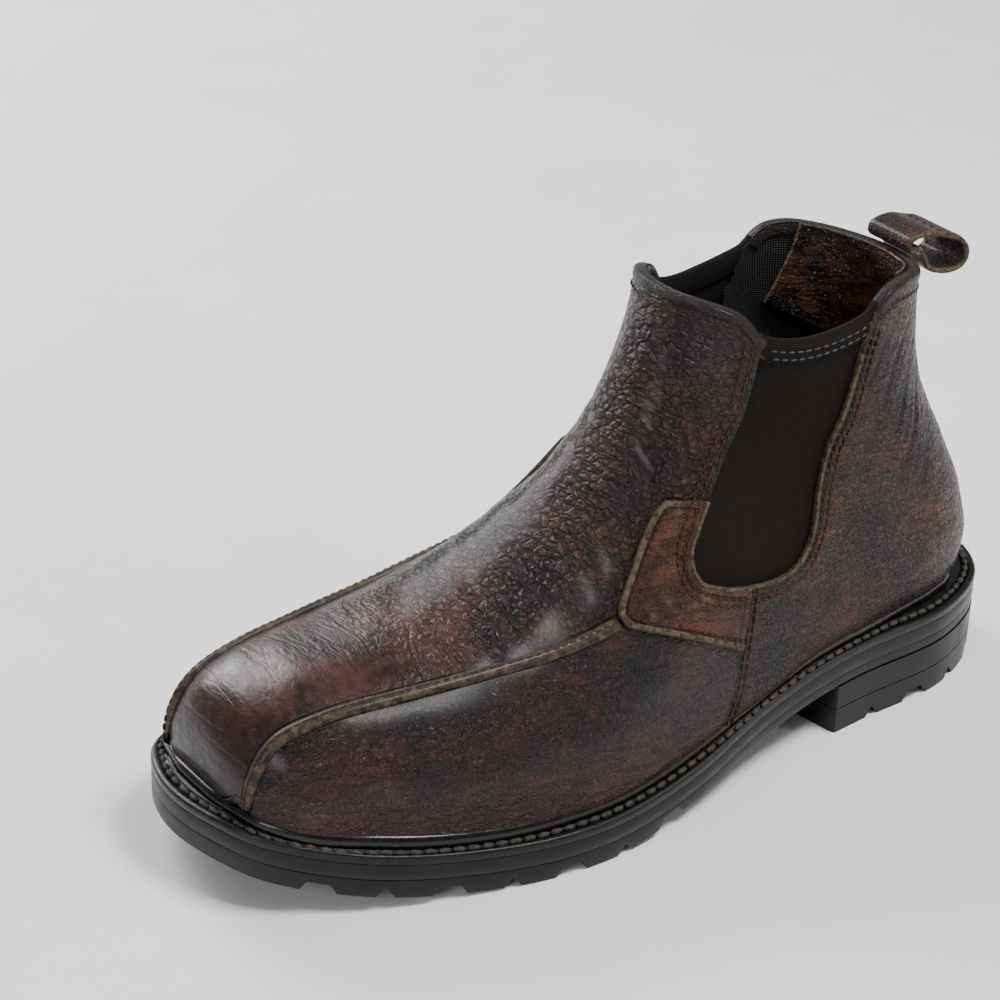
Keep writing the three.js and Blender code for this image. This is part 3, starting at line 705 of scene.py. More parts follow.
def leather(name, dye, mid, worn, shine=0.36, grain=2.2, wear=0.45, stretch=(0.25, 0.25, 1.0), crease=0.6,
            edge_dye=None, edge_width=3.0, warm_low=None, valley_shade_colour=None, coat=0.25, grain_depth=0.22,
            seams=(), valley_shade_strength=0.75, smooth_toe=False):
    """A dyed leather. seams are distances from the cut edge with a stitched furrow, in millimetres; furrows get painted
    shade.
    """
    material, tree, shader, mm = new_material(name)
    pebble = dict(use(tree, grain_group, {"Vector": mm, "Size": grain}).items())
    lines, small_lines = (
        use(tree, crease_group, {"Vector": mm, "Stretch": stretch, "Scale": scale})["Height"]
        for scale in (0.22, 0.75))
    if smooth_toe:
        along_foot = axis_of(tree, mm, 1)
        grain_share = rescale(tree, along_foot, *SMOOTH_TOE, 0.05, FULL_GRAIN)
        pebble = {key: faded(tree, value, grain_share) for key, value in pebble.items()}
        crease_share = rescale(tree, along_foot, *CALM_TOE, 0.1, FULL_GRAIN)
        lines, small_lines = (faded(tree, value, crease_share, 1.0) for value in (lines, small_lines))
    worn_out = use(tree, wear_group, {"Vector": mm, "Size": 26.0, "Amount": wear})
    clouds = noise(tree, mm, 0.045, 5.0, 0.6)
    mottle = noise(tree, mm, 0.3, 5.0, 0.6)

    tone = mixed(tree, rescale(tree, clouds, 0.36, 0.66), dye, mid)
    tone = mixed(tree, maths(tree, "MULTIPLY", rescale(tree, mottle, 0.42, 0.7), 0.35), tone, mid)
    if warm_low is not None:
        shade, low, high = warm_low
        patchy = rescale(tree, clouds, 0.3, 0.6, 0.35, 1.0)
        fade = maths(tree, "MULTIPLY", rescale(tree, axis_of(tree, mm, 2), high, low), patchy)
        tone = mixed(tree, fade, tone, shade)
    tone = mixed(tree, maths(tree, "MULTIPLY", worn_out["Mask"], 0.8), tone, worn)
    tone = mixed(tree, maths(tree, "MULTIPLY", worn_out["Scratches"], 0.3), tone, worn)
    # Painted shade colour: the dye at a third of its strength, laid into grain valleys, creases and stitched furrows.
    painted_shade_colour = (*[0.35 * part for part in dye[:3]], 1)
    # Painted shade: the grain valleys are darkened towards a near-black colour.
    tone = mixed(tree, maths(tree, "MULTIPLY", pebble["Net"], valley_shade_strength), tone, valley_shade_colour or painted_shade_colour)
    # Painted shade along the creases.
    tone = mixed(tree, maths(tree, "MULTIPLY", maths(tree, "SUBTRACT", 1.0, lines), 0.55), tone, painted_shade_colour)
    if edge_dye is not None:
        rim = rescale(tree, attribute(tree, "edge"), edge_width, edge_width * 0.45)
        tone = mixed(tree, rim, tone, edge_dye)
    furrow = 0.0
    for distance in seams:
        away = maths(tree, "ABSOLUTE", maths(tree, "SUBTRACT", attribute(tree, "edge"), distance))
        furrow = maths(tree, "ADD", furrow, rescale(tree, away, 0.75, 0.15))
    # Painted shade in the stitched furrows.
    if seams:
        tone = mixed(tree, maths(tree, "MULTIPLY", furrow, 0.8), tone, painted_shade_colour)
    tree.links.new(tone, shader.inputs["Base Color"])

    rough = rescale(tree, mottle, 0.3, 0.75, shine - 0.06, shine + 0.14)
    rough = maths(tree, "ADD", rough, maths(tree, "MULTIPLY", worn_out["Mask"], 0.12))
    rough = maths(tree, "ADD", rough, maths(tree, "MULTIPLY", pebble["Net"], 0.35))
    tree.links.new(rough, shader.inputs["Roughness"])
    shader.inputs["Coat Weight"].default_value = coat
    shader.inputs["Coat Roughness"].default_value = 0.2
    shader.inputs["Specular IOR Level"].default_value = 0.28
    layers = [(lines, 1.0, crease), (small_lines, 0.4, crease), (pebble["Height"], grain_depth, 1.0)]
    if seams:
        layers.append((maths(tree, "SUBTRACT", 1.0, furrow), 0.6, 1.0))
    bumps(tree, shader, layers)
    return material


def plain(name, base, second, roughness, scale=0.4, depth=0.15, metallic=0.0, coat=0.0, stretch=(1, 1, 1),
          spread=(0.35, 0.65)):
    """A quieter finish: two tones mixed by noise, with a fine bump."""
    material, tree, shader, mm = new_material(name)
    moved = vector_maths(tree, "MULTIPLY", mm, stretch)
    cloud = noise(tree, moved, scale, 6.0, 0.65, 0.4)
    speck = noise(tree, moved, scale * 6, 3.0, 0.6)
    tone = mixed(tree, rescale(tree, cloud, *spread), base, second)
    tone = mixed(tree, maths(tree, "MULTIPLY", rescale(tree, speck, 0.5, 0.75), 0.35), tone, second)
    tree.links.new(tone, shader.inputs["Base Color"])
    rough = rescale(tree, cloud, 0.3, 0.7, roughness - 0.06, roughness + 0.1)
    tree.links.new(rough, shader.inputs["Roughness"])
    shader.inputs["Metallic"].default_value = metallic
    shader.inputs["Specular IOR Level"].default_value = 0.25
    shader.inputs["Coat Weight"].default_value = coat
    bumps(tree, shader, [(cloud, depth * 2, 0.5), (speck, depth, 0.6)])
    return material


# %% [markdown]
# ### The palette
# Every finish gets a dark dye, a middle tone and a worn tone. The front panel is the most pebbled and turns
# smooth over the toe, where lasting pulls the leather tight. Patches are warmer, the linings nearly black.

# %% The leathers
# The vamp's near-black #0b0605 is the painted shade in its grain valleys.
vamp_leather = leather(
    "Vamp leather", colour("#170d0c"), colour("#48251f"), colour("#743c22"), shine=0.33, grain=3.2, wear=0.3,
    stretch=(0.12, 0.5, 0.5), crease=0.9, edge_dye=colour("#0f0b0b"), edge_width=1.8,
    warm_low=(colour("#1e1413"), 40.0, 70.0), valley_shade_colour=colour("#0b0605"), coat=0.2, grain_depth=0.55,
    seams=(2.6,), valley_shade_strength=0.9, smooth_toe=True)
side_leather = leather(
    "Side leather", colour("#0f0a0a"), colour("#361a16"), colour("#642f1b"), shine=0.3, grain=2.2, wear=0.28,
    stretch=(0.3, 0.3, 1.0), crease=0.8, edge_dye=colour("#0b0808"), edge_width=1.5,
    warm_low=(colour("#3d1c14"), 20.0, 46.0), coat=0.2, grain_depth=0.2, valley_shade_strength=0.3)
quarter_leather = leather(
    "Quarter leather", colour("#140e0d"), colour("#45221a"), colour("#704830"), shine=0.32, grain=2.4,
    wear=0.32, stretch=(0.18, 0.22, 1.0), crease=0.9, edge_dye=colour("#0e0b0b"), edge_width=3.4,
    coat=0.12, grain_depth=0.28, seams=(2.2, 4.6), valley_shade_strength=0.4)
patch_leather = leather(
    "Patch leather", colour("#2e170f"), colour("#633926"), colour("#86604a"), shine=0.36, grain=1.3, wear=0.4,
    stretch=(0.6, 0.3, 0.9), crease=0.7, coat=0.15, warm_low=(colour("#3b140b"), 50.0, 66.0), grain_depth=0.2,
    seams=(3.0,), valley_shade_strength=0.3)
tab_leather = leather(
    "Tab leather", colour("#1f100c"), colour("#4a2418"), colour("#7c4a2e"), shine=0.34, grain=1.3, wear=0.4,
    stretch=(0.9, 0.3, 0.3), crease=0.9, edge_dye=colour("#7a5c38"), edge_width=1.2, coat=0.4,
    grain_depth=0.35)
lining_leather = leather(
    "Lining leather", colour("#060708"), colour("#0e1013"), colour("#1d2024"), shine=0.5, grain=1.2, wear=0.3,
    stretch=(0.9, 0.35, 0.55), crease=1.0, coat=0.0)
grip_leather = leather(
    "Heel grip leather", colour("#140b08"), colour("#3b1d12"), colour("#7a4528"), shine=0.16, grain=1.4,
    wear=0.46, stretch=(0.3, 0.3, 0.9), crease=1.0, edge_dye=colour("#7d6040"), edge_width=1.0, coat=1.0)
binding_leather = leather(
    "Binding leather", colour("#130c0b"), colour("#38201b"), colour("#5e4034"), shine=0.34, grain=1.0,
    wear=0.3, crease=0.25, coat=0.1, grain_depth=0.2)

# %% [markdown]
# Edges, thread, rubber, board, steel and cork need only two tones and a fine bump, so one helper makes them
# all.

# %% The other finishes
raw_edge = plain("Raw edge", colour("#1d1812"), colour("#5e5440"), 0.75, scale=0.7, depth=0.3)
piping_leather = plain(
    "Piping leather", colour("#17120f"), colour("#66533a"), 0.42, scale=0.34, depth=0.4, coat=0.1,
    spread=(0.4, 0.78))
thread = plain("Thread", colour("#120a08"), colour("#4f2c1e"), 0.6, scale=2.0, depth=0.1)
grey_thread = plain("Grey thread", colour("#1c1c1c"), colour("#5a5a58"), 0.6, scale=2.0, depth=0.1)
light_thread = plain("Welt thread", colour("#1d1a17"), colour("#4f483d"), 0.6, scale=1.2, depth=0.15)
rubber = plain("Sole rubber", colour("#0b0c0d"), colour("#151819"), 0.42, scale=0.12, depth=0.06, coat=0.05)
rand_rubber = plain(
    "Rand rubber", colour("#040405"), colour("#0c0b0b"), 0.24, scale=0.3, depth=0.12, coat=0.3)
welt_leather = plain(
    "Welt leather", colour("#060606"), colour("#12100f"), 0.34, scale=0.35, depth=0.2, coat=0.1)
fibreboard = plain("Fibreboard", colour("#7d6a50"), colour("#947f60"), 0.8, scale=0.5, depth=0.2)
steel = plain(
    "Shank steel", colour("#8b8d8f"), colour("#a9abad"), 0.35, scale=0.2, depth=0.03, metallic=1.0,
    stretch=(1, 0.1, 1))
cork = plain("Cork", colour("#6e4d2c"), colour("#a67f52"), 0.85, scale=0.9, depth=0.5)


# %% [markdown]
# ### Elastic
# Gore elastic is covered rubber thread: fine cords run up the boot and a finer weave crosses them. Two waves
# make cords and picks. The cords follow the sheet's own flat coordinates, so they bend with the gore.

# %% Elastic
elastic_cloth, tree, shader, mm = new_material("Gore elastic")
flat = add(tree, "ShaderNodeUVMap", uv_map="flat").outputs[0]
flat_x, flat_y = add(tree, "ShaderNodeSeparateXYZ", {0: flat}).outputs[:2]
cords = maths(tree, "SINE", maths(tree, "MULTIPLY", flat_x, 2 * math.pi / 0.9))
picks = maths(tree, "SINE", maths(tree, "MULTIPLY", flat_y, 2 * math.pi / 0.55))
fuzz = noise(tree, mm, 2.2, 5.0, 0.7)
crossings = maths(tree, "MULTIPLY", picks, cords)
weave = maths(tree, "ADD", maths(tree, "MULTIPLY", cords, 0.5), maths(tree, "MULTIPLY", crossings, 0.3))
tone = mixed(tree, rescale(tree, weave, -0.7, 0.8), colour("#060606"), colour("#221d18"))
tone = mixed(tree, rescale(tree, fuzz, 0.52, 0.75, 0.0, 0.6), tone, colour("#2a231e"))
tree.links.new(tone, shader.inputs["Base Color"])
shader.inputs["Roughness"].default_value = 0.82
shader.inputs["Specular IOR Level"].default_value = 0.12
bumps(tree, shader, [(weave, 0.16, 0.8), (fuzz, 0.2, 0.5)])

# %% [markdown]
# The lining under the heel grip is an open mesh. Two waves that cross at an angle give its knots.

# %% Mesh lining
mesh_cloth, tree, shader, mm = new_material("Lining mesh")
flat = add(tree, "ShaderNodeUVMap", uv_map="flat").outputs[0]
flat_x, flat_y = add(tree, "ShaderNodeSeparateXYZ", {0: flat}).outputs[:2]
MESH_PITCH = 1.9
per_mm = 2 * math.pi / MESH_PITCH
across = maths(tree, "SINE", maths(tree, "MULTIPLY", maths(tree, "ADD", flat_x, flat_y), per_mm))
along = maths(tree, "SINE", maths(tree, "MULTIPLY", maths(tree, "SUBTRACT", flat_x, flat_y), per_mm))
knots = maths(tree, "MULTIPLY", across, along)
tone = mixed(tree, rescale(tree, knots, 0.1, 0.8), colour("#040404"), colour("#4a4c4e"))
tree.links.new(tone, shader.inputs["Base Color"])
shader.inputs["Roughness"].default_value = 0.75
shader.inputs["Specular IOR Level"].default_value = 0.15
bumps(tree, shader, [(knots, 0.3, 0.8)])


# %% [markdown]
# ## Front panel
# One piece of leather wraps the toe, climbs the instep and ends under the front rim. It could be a flat grid
# bent by a lattice, but laying the grid on the last gives true seams at once. Flex creases are moved into
# the surface itself, since they are deep enough to break the highlight.

# %% Front panel
RISE = 0.4
B_OUT = [np.concatenate([SIDES["outer"]["seam"][k], SIDES["outer"]["front"][k]]) for k in (0, 1)]
B_IN = [np.concatenate([SIDES["inner"]["seam"][k], SIDES["inner"]["front"][k]]) for k in (0, 1)]


def spread(first, second, count_rows, count_columns, start, end, turns=30):
    """Rows of t between start(turn) and end(turn), columns between two turn boundaries of t."""
    s = np.linspace(0, 1, count_columns)
    t0, t1 = np.full(count_columns, 0.3), np.full(count_columns, 0.8)
    for _ in range(turns):
        t0 = 0.5 * t0 + 0.5 * start(first(t0) + (second(t0) - first(t0)) * s)
        t1 = 0.5 * t1 + 0.5 * end(first(t1) + (second(t1) - first(t1)) * s)
    t = t0 + (t1 - t0) * np.linspace(0, 1, count_rows)[:, None]
    return t, first(t) + (second(t) - first(t)) * s


def flex(t, turn):
    """Creases over the instep and across the vamp, and the small softness of worn leather, in millimetres."""
    p = last_point(t, turn)
    x, y, z = p[..., 0], p[..., 1], p[..., 2]
    instep = np.exp(-(((t - 0.5) / 0.075) ** 2))
    swing = 34 * t + 5.5 * turn + 0.8 * np.sin(9 * turn + 2) + 0.6 * np.sin(0.11 * y + 0.07 * x)
    deep = -0.55 * np.maximum(0, np.sin(swing * 2.1)) ** 3 * instep
    fan = -0.35 * np.maximum(0, np.sin(4.6 * swing + 3 * np.sin(6 * turn))) ** 4 * instep
    vamp = np.exp(-(((t - 0.385) / 0.05) ** 2))
    roll = -0.3 * np.maximum(0, np.sin(2.4 * swing + 1.5 * np.sin(7 * turn))) ** 3 * vamp
    soft = 0.16 * np.sin(0.13 * x + 0.09 * z) * np.sin(0.1 * y + 1)
    soft = soft + 0.1 * np.sin(0.33 * y + 0.2 * x) * np.sin(0.29 * z)
    return deep + fan + roll + soft


def side_soft(t, turn):
    p = last_point(t, turn)
    x, y, z = p[..., 0], p[..., 1], p[..., 2]
    return 0.18 * np.sin(0.11 * y + 0.05 * z) * np.sin(0.12 * z + 1) + 0.09 * np.sin(0.35 * z + 0.12 * y)


def heel_folds(t, turn):
    """Long upright folds where the ankle bends the quarter, on top of the ordinary softness."""
    p = last_point(t, turn)
    y, z = p[..., 1], p[..., 2]
    phase = 0.6 * (y - 0.42 * z) + 1.3 * np.sin(0.05 * z + 0.03 * y)
    where = np.exp(-(((y - 84) / 24) ** 2)) * smoothstep(z, 52, 80) * (1 - smoothstep(z, 118, 146))
    broad = -0.42 * np.maximum(0, np.sin(phase)) ** 3
    narrow = -0.2 * np.maximum(0, np.sin(2.3 * phase + 1.5 * np.sin(0.08 * z))) ** 3
    return side_soft(t, turn) + (broad + narrow) * where


toe_turns = np.linspace(-0.6, 0.6, 121)
toe_line = t_at_toe(toe_turns, RISE)
top_turns = np.linspace(-1, 1, 401)
top_line_t = t_at_top(top_turns)


def toe_start(turn):
    return np.interp(turn, toe_turns, toe_line)


def top_end(turn, drop=0.0):
    if drop:
        return np.interp(turn, top_turns, t_at_top(top_turns, drop))
    return np.interp(turn, top_turns, top_line_t)


t, turn = spread(
    lambda t: -along_t(B_IN, t), lambda t: along_t(B_OUT, t), 230, 110, toe_start, lambda a: top_end(a, 1.0))
front_panel = sheet(
    "Front_panel", t, turn, 0.0, 1.8, ["front_panel"],
    [(vamp_leather, "upper_leather"), (raw_edge, "raw_edge")], "LRT", flex)

# %% [markdown]
# ## Side panels and quarters
# Each side panel fills the space between the front seam and the sole, back to the rear seam. The quarter
# goes on from there round the heel and up behind the elastic.

# %% Side panels and quarters
def feather(t, side):
    return turn_at_height(t, side, RISE)


FEATHER_T = np.linspace(0.03, 0.72, 240)
FEATHER = {s: feather(FEATHER_T, s) for s in (1, -1)}
rear_join = {}
for suffix, info in SIDES.items():
    side = info["side"]
    seam_t, seam_turn = info["seam"]
    rear_t, rear_turn = info["rear_seam"]
    order = np.argsort(np.abs(rear_turn))
    rear_by_turn = (np.abs(rear_turn)[order], rear_t[order])

    upper_t = np.concatenate([seam_t, [0.478, 0.497, 0.512, 0.53]])
    upper_turn = np.concatenate([np.abs(seam_turn), [0.325, 0.358, 0.39, 0.42]])
    upper = [upper_t, upper_turn]

    def top_of(t, upper=upper):
        return along_t(upper, t)

    def sole_of(t, side=side):
        return np.interp(t, FEATHER_T, FEATHER[side])

    t0 = float(seam_t.min()) + 0.002
    s = np.linspace(0, 1, 50)
    end = np.full(s.shape, 0.5)
    for _ in range(30):
        at = top_of(end) + (sole_of(end) - top_of(end)) * s
        end = 0.5 * end + 0.5 * np.interp(at, *rear_by_turn)
    t = t0 + (end - t0) * np.linspace(0, 1, 190)[:, None]
    turn = top_of(t) + (sole_of(t) - top_of(t)) * s
    if side < 0:
        t, turn = t[:, ::-1], -turn[:, ::-1]
    cut = "LT" if side > 0 else "RT"
    sheet(f"Side_panel_{suffix}", t, turn, 0.0, 1.8, [f"side_panel_{suffix}"],
          [(side_leather, "upper_leather"), (raw_edge, "raw_edge")], cut, side_soft)

    win_t, win_turn = info["rear"]
    keep = win_t > 0.522
    bound_t = np.concatenate([rear_t, win_t[keep]])
    bound_turn = np.abs(np.concatenate([rear_turn, win_turn[keep]]))
    bound = [bound_t, bound_turn]

    def front_of(t, bound=bound):
        return along_t(bound, t)

    def back_of(t, side=side):
        return np.where(t < 0.665, np.minimum(np.interp(t, FEATHER_T, FEATHER[side]), 1), 1.0)

    t_start = float(rear_t.min()) + 0.001
    s = np.linspace(0, 1, 90) ** 1.0
    t1 = np.full(s.shape, 0.95)
    for _ in range(30):
        at = front_of(t1) + (back_of(t1) - front_of(t1)) * s
        t1 = 0.5 * t1 + 0.5 * top_end(at * side, 1.0)
    t = t_start + (t1 - t_start) * np.linspace(0, 1, 200)[:, None]
    turn = front_of(t) + (back_of(t) - front_of(t)) * s
    if side < 0:
        t, turn = t[:, ::-1], -turn[:, ::-1]
    cut = "L" if side > 0 else "R"
    sheet(f"Quarter_{suffix}", t, turn, 0.0, 1.8, [f"quarter_{suffix}"],
          [(quarter_leather, "upper_leather"), (raw_edge, "raw_edge")], cut, heel_folds)

    # ## Elastic gore under both edges of the window
    front_t, front_turn = info["front"]

    def gore_front(t, a=front_t, b=np.abs(front_turn)):
        order = np.argsort(a)
        return np.interp(t, a[order], b[order]) - 0.02

    def gore_rear(t, a=win_t, b=np.abs(win_turn)):
        order = np.argsort(a)
        return np.interp(t, a[order], b[order]) + 0.02

    s = np.linspace(0, 1, 60)
    t1 = np.full(s.shape, 0.9)
    for _ in range(30):
        at = gore_front(t1) + (gore_rear(t1) - gore_front(t1)) * s
        t1 = 0.5 * t1 + 0.5 * top_end(at * side, 1.0)
    t = 0.497 + (t1 - 0.497) * np.linspace(0, 1, 130)[:, None]
    turn = gore_front(t) + (gore_rear(t) - gore_front(t)) * s
    if side < 0:
        t, turn = t[:, ::-1], -turn[:, ::-1]
    web = sheet(
        f"Elastic_{suffix}", t, turn, -2.1, 0.9, [f"elastic_{suffix}"], [(elastic_cloth, "elastic")], "")
    mid = last_point(t, turn) + last_normal(t, turn) * -2.55
    centred = (mid - mid.mean((0, 1))).reshape(-1, 3)
    spans = np.ptp(centred @ np.linalg.svd(centred, full_matrices=False)[2][:2].T, axis=0) * MM
    cut = (float(spans[1]), float(spans[0]))

# %% [markdown]
# ## Lining, heel grip and back strip
# The lining is a thin leather bag inside the shell. The heel grip is a glossier piece stitched over it at the
# back of the opening, and the back strip covers the seam where the two quarters meet.

# %% Lining and heel
def lining_wave(t, turn):
    p = last_point(t, turn)
    return 0.22 * np.sin(0.4 * p[..., 2] + 0.15 * p[..., 1]) * np.sin(0.21 * p[..., 1] + 0.1 * p[..., 0])


L_OUT = [np.concatenate([[0.10, 0.2, 0.34, 0.45], SIDES["outer"]["front"][0] + 0.004]),
         np.concatenate([[0.30, 0.42, 0.47, 0.44], np.abs(SIDES["outer"]["front"][1]) + 0.012])]
L_IN = [np.concatenate([[0.10, 0.2, 0.34, 0.45], SIDES["inner"]["front"][0] + 0.004]),
        np.concatenate([[0.30, 0.42, 0.47, 0.44], np.abs(SIDES["inner"]["front"][1]) + 0.012])]
t, turn = spread(lambda t: -along_t(L_IN, t), lambda t: along_t(L_OUT, t), 120, 60,
                 lambda a: np.full_like(a, 0.12), lambda a: top_end(a, 0.4))
sheet("Front_lining", t, turn, -3.3, 1.0, ["lining_vamp"], [(lining_leather, "lining")], "LRT", lining_wave)

for suffix, info in SIDES.items():
    side = info["side"]
    win_t, win_turn = info["rear"]
    order = np.argsort(win_t)
    wt, wa = win_t[order], np.abs(win_turn)[order]
    s = np.linspace(0, 1, 60)
    low = lambda t: np.interp(t, wt, wa) - 0.012
    high = lambda t, side=side: np.where(t < 0.665, np.minimum(np.interp(t, FEATHER_T, FEATHER[side]), 1), 1.0)
    t1 = np.full(s.shape, 0.95)
    for _ in range(30):
        at = low(t1) + (high(t1) - low(t1)) * s
        t1 = 0.5 * t1 + 0.5 * top_end(at * side, 0.4)
    t = 0.5 + (t1 - 0.5) * np.linspace(0, 1, 120)[:, None]
    turn = low(t) + (high(t) - low(t)) * s
    if side < 0:
        t, turn = t[:, ::-1], -turn[:, ::-1]
    sheet(f"Rear_lining_{suffix}", t, turn, -3.3, 1.0, ["lining_quarter"], [(mesh_cloth, "lining")],
          "LT" if side > 0 else "RT", lining_wave)

back_t = np.linspace(0.66, 1, 200)
back_z = last_point(back_t, 1.0)[:, 2]
GRIP_EDGE = [(93, 170), (89, 145), (83, 130), (78, 119), (83, 112), (98, 108.5), (122, 107.5), (150, 107.5)]
grip_edge = smooth_curve(GRIP_EDGE, 120)
grip = {}
for side in (1, -1):
    a, b = find_on_last(grip_edge[(grip_edge[:, 1] < 150) & (grip_edge[:, 0] < 112)], [1, 2], side)
    order = np.argsort(a)
    grip[side] = (a[order], np.abs(b)[order])
grip_low = float(np.interp(107.5, back_z, back_t))
s = np.linspace(0, 1, 80)
left = lambda t: np.interp(t, *grip[1], left=1.0)
right = lambda t: 2 - np.interp(t, *grip[-1], left=1.0)
t1 = np.full(s.shape, 0.95)
for _ in range(30):
    at = left(t1) + (right(t1) - left(t1)) * s
    t1 = 0.5 * t1 + 0.5 * top_end(np.where(at > 1, at - 2, at), 0.3)
t = grip_low + (t1 - grip_low) * np.linspace(0, 1, 90)[:, None]
turn = left(t) + (right(t) - left(t)) * s


def grip_wave(t, turn):
    p = last_point(t, turn)
    fold = np.sin(0.34 * p[..., 2] + 0.9 * np.sin(0.12 * p[..., 0] + 0.2 * p[..., 2]))
    return -0.35 * np.maximum(0, fold) ** 3 + 0.15 * np.sin(0.5 * p[..., 0] + 0.3 * p[..., 2])


sheet(
    "Heel_grip", t, turn, -4.6, 0.9, ["heel_grip"],
    [(grip_leather, "grip_leather"), (raw_edge, None)], "LRB", grip_wave)

STRIP_HALF, STRIP_ROW = 8.5, 6.6
NEAR_BACK = np.linspace(1, 0.8, 60)


def turns_off_centre(t_values, width):
    """The turn on each section that lies this far to the side of the back's centre line."""
    found = []
    for t in t_values:
        from_centre = np.abs(last_point(t, NEAR_BACK)[:, 0] - last_point(t, 1.0)[0])
        found.append(np.interp(width, from_centre, NEAR_BACK))
    return np.array(found)


strip_t = np.linspace(0.668, float(np.interp(128, back_z, back_t)), 110)
half_turn = turns_off_centre(strip_t, STRIP_HALF)
turn = 1 + (1 - half_turn)[:, None] * np.linspace(-1, 1, 25)
sheet("Back_strip", np.broadcast_to(strip_t[:, None], turn.shape), turn, 2.0, 1.7, ["back_strip"],
      [(quarter_leather, "upper_leather"), (raw_edge, "raw_edge")], "LRBT")


# %% [markdown]
# ## Patch at the foot of the elastic
# A separate piece is stitched over the point where front panel, side panel and gore meet. It is laid as a
# bent strip between its outer line and the window, so its grid turns the corner with it. A fuzzy raw edge
# stands up along the outer line.

# %% Patches
PATCH_OUTER = [
    [(-3, 96.1), (-6.6, 93.8), (-13.4, 86.9), (-20, 79.7), (-26.5, 73), (-28.4, 69.6)],
    [(-28.4, 69.6), (-26, 66.3), (-19, 63.6), (-6, 58.3), (7.5, 51.8), (15.4, 47.9)],
]
PATCH_INNER = [
    [(10.6, 94), (4.2, 86), (1.6, 82.6), (0.5, 79.6), (0.3, 77.4), (0.7, 75.4)],
    [(0.7, 75.4), (2.6, 72.3), (6.5, 70.2), (12, 68), (17, 66.6), (21.8, 65.3)],
]


def toward(points, normals, distance, goal):
    """The line moved sideways by a distance, to the side where the goal point lies."""
    moved = shifted(points, normals, distance)
    other = shifted(points, normals, -distance)
    goal = np.asarray(goal, float)
    nearer = np.linalg.norm(moved - goal, axis=1).sum() < np.linalg.norm(other - goal, axis=1).sum()
    return moved if nearer else other


def two_part(parts, count):
    first, second = (smooth_curve(p, count) for p in parts)
    return np.vstack([first, second[1:]])


def patch_wave(t, turn):
    p = last_point(t, turn)
    y, z = p[..., 1], p[..., 2]
    return 0.12 * np.sin(0.9 * y + 0.5 * z) * np.sin(0.25 * z) + 0.1 * np.sin(0.3 * y)


for suffix, info in SIDES.items():
    side = info["side"]
    outer_t, outer_turn = find_on_last(two_part(PATCH_OUTER, 30), [1, 2], side)
    inner_t, inner_turn = find_on_last(two_part(PATCH_INNER, 30), [1, 2], side)
    s = np.linspace(0, 1, 34)
    t = inner_t[:, None] + (outer_t - inner_t)[:, None] * s
    turn = inner_turn[:, None] + (outer_turn - inner_turn)[:, None] * s
    if side < 0:
        t, turn = t[:, ::-1], turn[:, ::-1]
    sheet(f"Patch_{suffix}", t, turn, 1.6, 1.3, [f"patch_{suffix}"],
          [(patch_leather, "patch_leather"), (raw_edge, "raw_edge")], "LRBT", patch_wave)
    info["patch_outer"] = (outer_t, outer_turn)
    info["patch_inner"] = (inner_t, inner_turn)
    start_shares = np.array([0.6, 0.8])
    rail_t = np.concatenate([inner_t[0] * (1 - start_shares) + outer_t[0] * start_shares, outer_t])
    rail_turn = np.concatenate([inner_turn[0] * (1 - start_shares) + outer_turn[0] * start_shares, outer_turn])
    line, normals = on_last(rail_t, rail_turn, 1.5)
    line = toward(line, normals, 1.1, last_point(*[np.array([v]) for v in (0.49, side * 0.33)])[0])
    patch_only, quarter_only, raw = [f"patch_{suffix}"], [f"quarter_{suffix}"], [(raw_edge, "raw_edge")]
    swept(f"Patch_edge_{suffix}", line, normals, pill(1.8, 0.45, 1.3), patch_only, raw)
    line, normals = on_last(inner_t, inner_turn, 1.4)
    swept(f"Window_edge_{suffix}", line, normals, pill(1.3, 0.4, 3.0), patch_only, raw)
    w_t, w_turn = info["rear"]
    keep = (w_t > 0.524) & (np.arange(len(w_t)) > 8) & (w_t < 0.9)
    line, normals = on_last(w_t[keep], w_turn[keep], -0.1)
    swept(f"Quarter_edge_{suffix}", line, normals, pill(1.2, 0.35, 1.5), quarter_only, raw)

# %% [markdown]
# ## Piping, rims and bindings
# Folded strips cover the seams and the top edge. Each is swept along its line; a rim is a flattened hook
# that wraps from the outside of the leather over its edge to the lining.

# %% Strips
RIM_SECTION = [
    (-2.3, 1.9), (-2.5, 2.3), (-2.3, 2.4), (-1.6, 2.42), (-0.9, 2.38), (-0.3, 2.15), (0.1, 1.6),
    (0.3, 0.9), (0.35, 0), (0.3, -0.9), (0.1, -1.6), (-0.4, -2.1), (-1.4, -2.4), (-3, -2.5), (-4.0, -2.5),
    (-4.3, -2.3), (-4.2, -1.8), (-2, 0),
]
BINDING_SECTION = [
    (-7, 0.5), (-7.1, 1.25), (-6.6, 1.5), (-3, 1.5), (-0.6, 1.4), (0.4, 1.0), (0.8, 0), (0.4, -1.0),
    (-0.6, -1.4), (-3, -1.5), (-6.6, -1.5), (-7.1, -1.2), (-7, -0.5), (-3, 0),
]

RIM_START_T = 0.895
front_ends, rear_ends = {}, {}
for info in SIDES.values():
    order = np.argsort(info["front"][0])
    a, b = info["front"][0][order], np.abs(info["front"][1])[order]
    front_ends[info["side"]] = float(np.interp(RIM_START_T, a, b))
    order = np.argsort(info["rear"][0])
    a, b = info["rear"][0][order], np.abs(info["rear"][1])[order]
    crossing = np.argmin(np.abs(np.interp(b, top_turns, top_line_t) - a))
    rear_ends[info["side"]] = float(b[crossing])
print("rim ends", front_ends, rear_ends)


def rim_line(turns, drop, offset):
    wrapped = np.where(turns > 1, turns - 2, turns)
    t = top_end(wrapped, drop)
    return on_last(t, turns, offset)


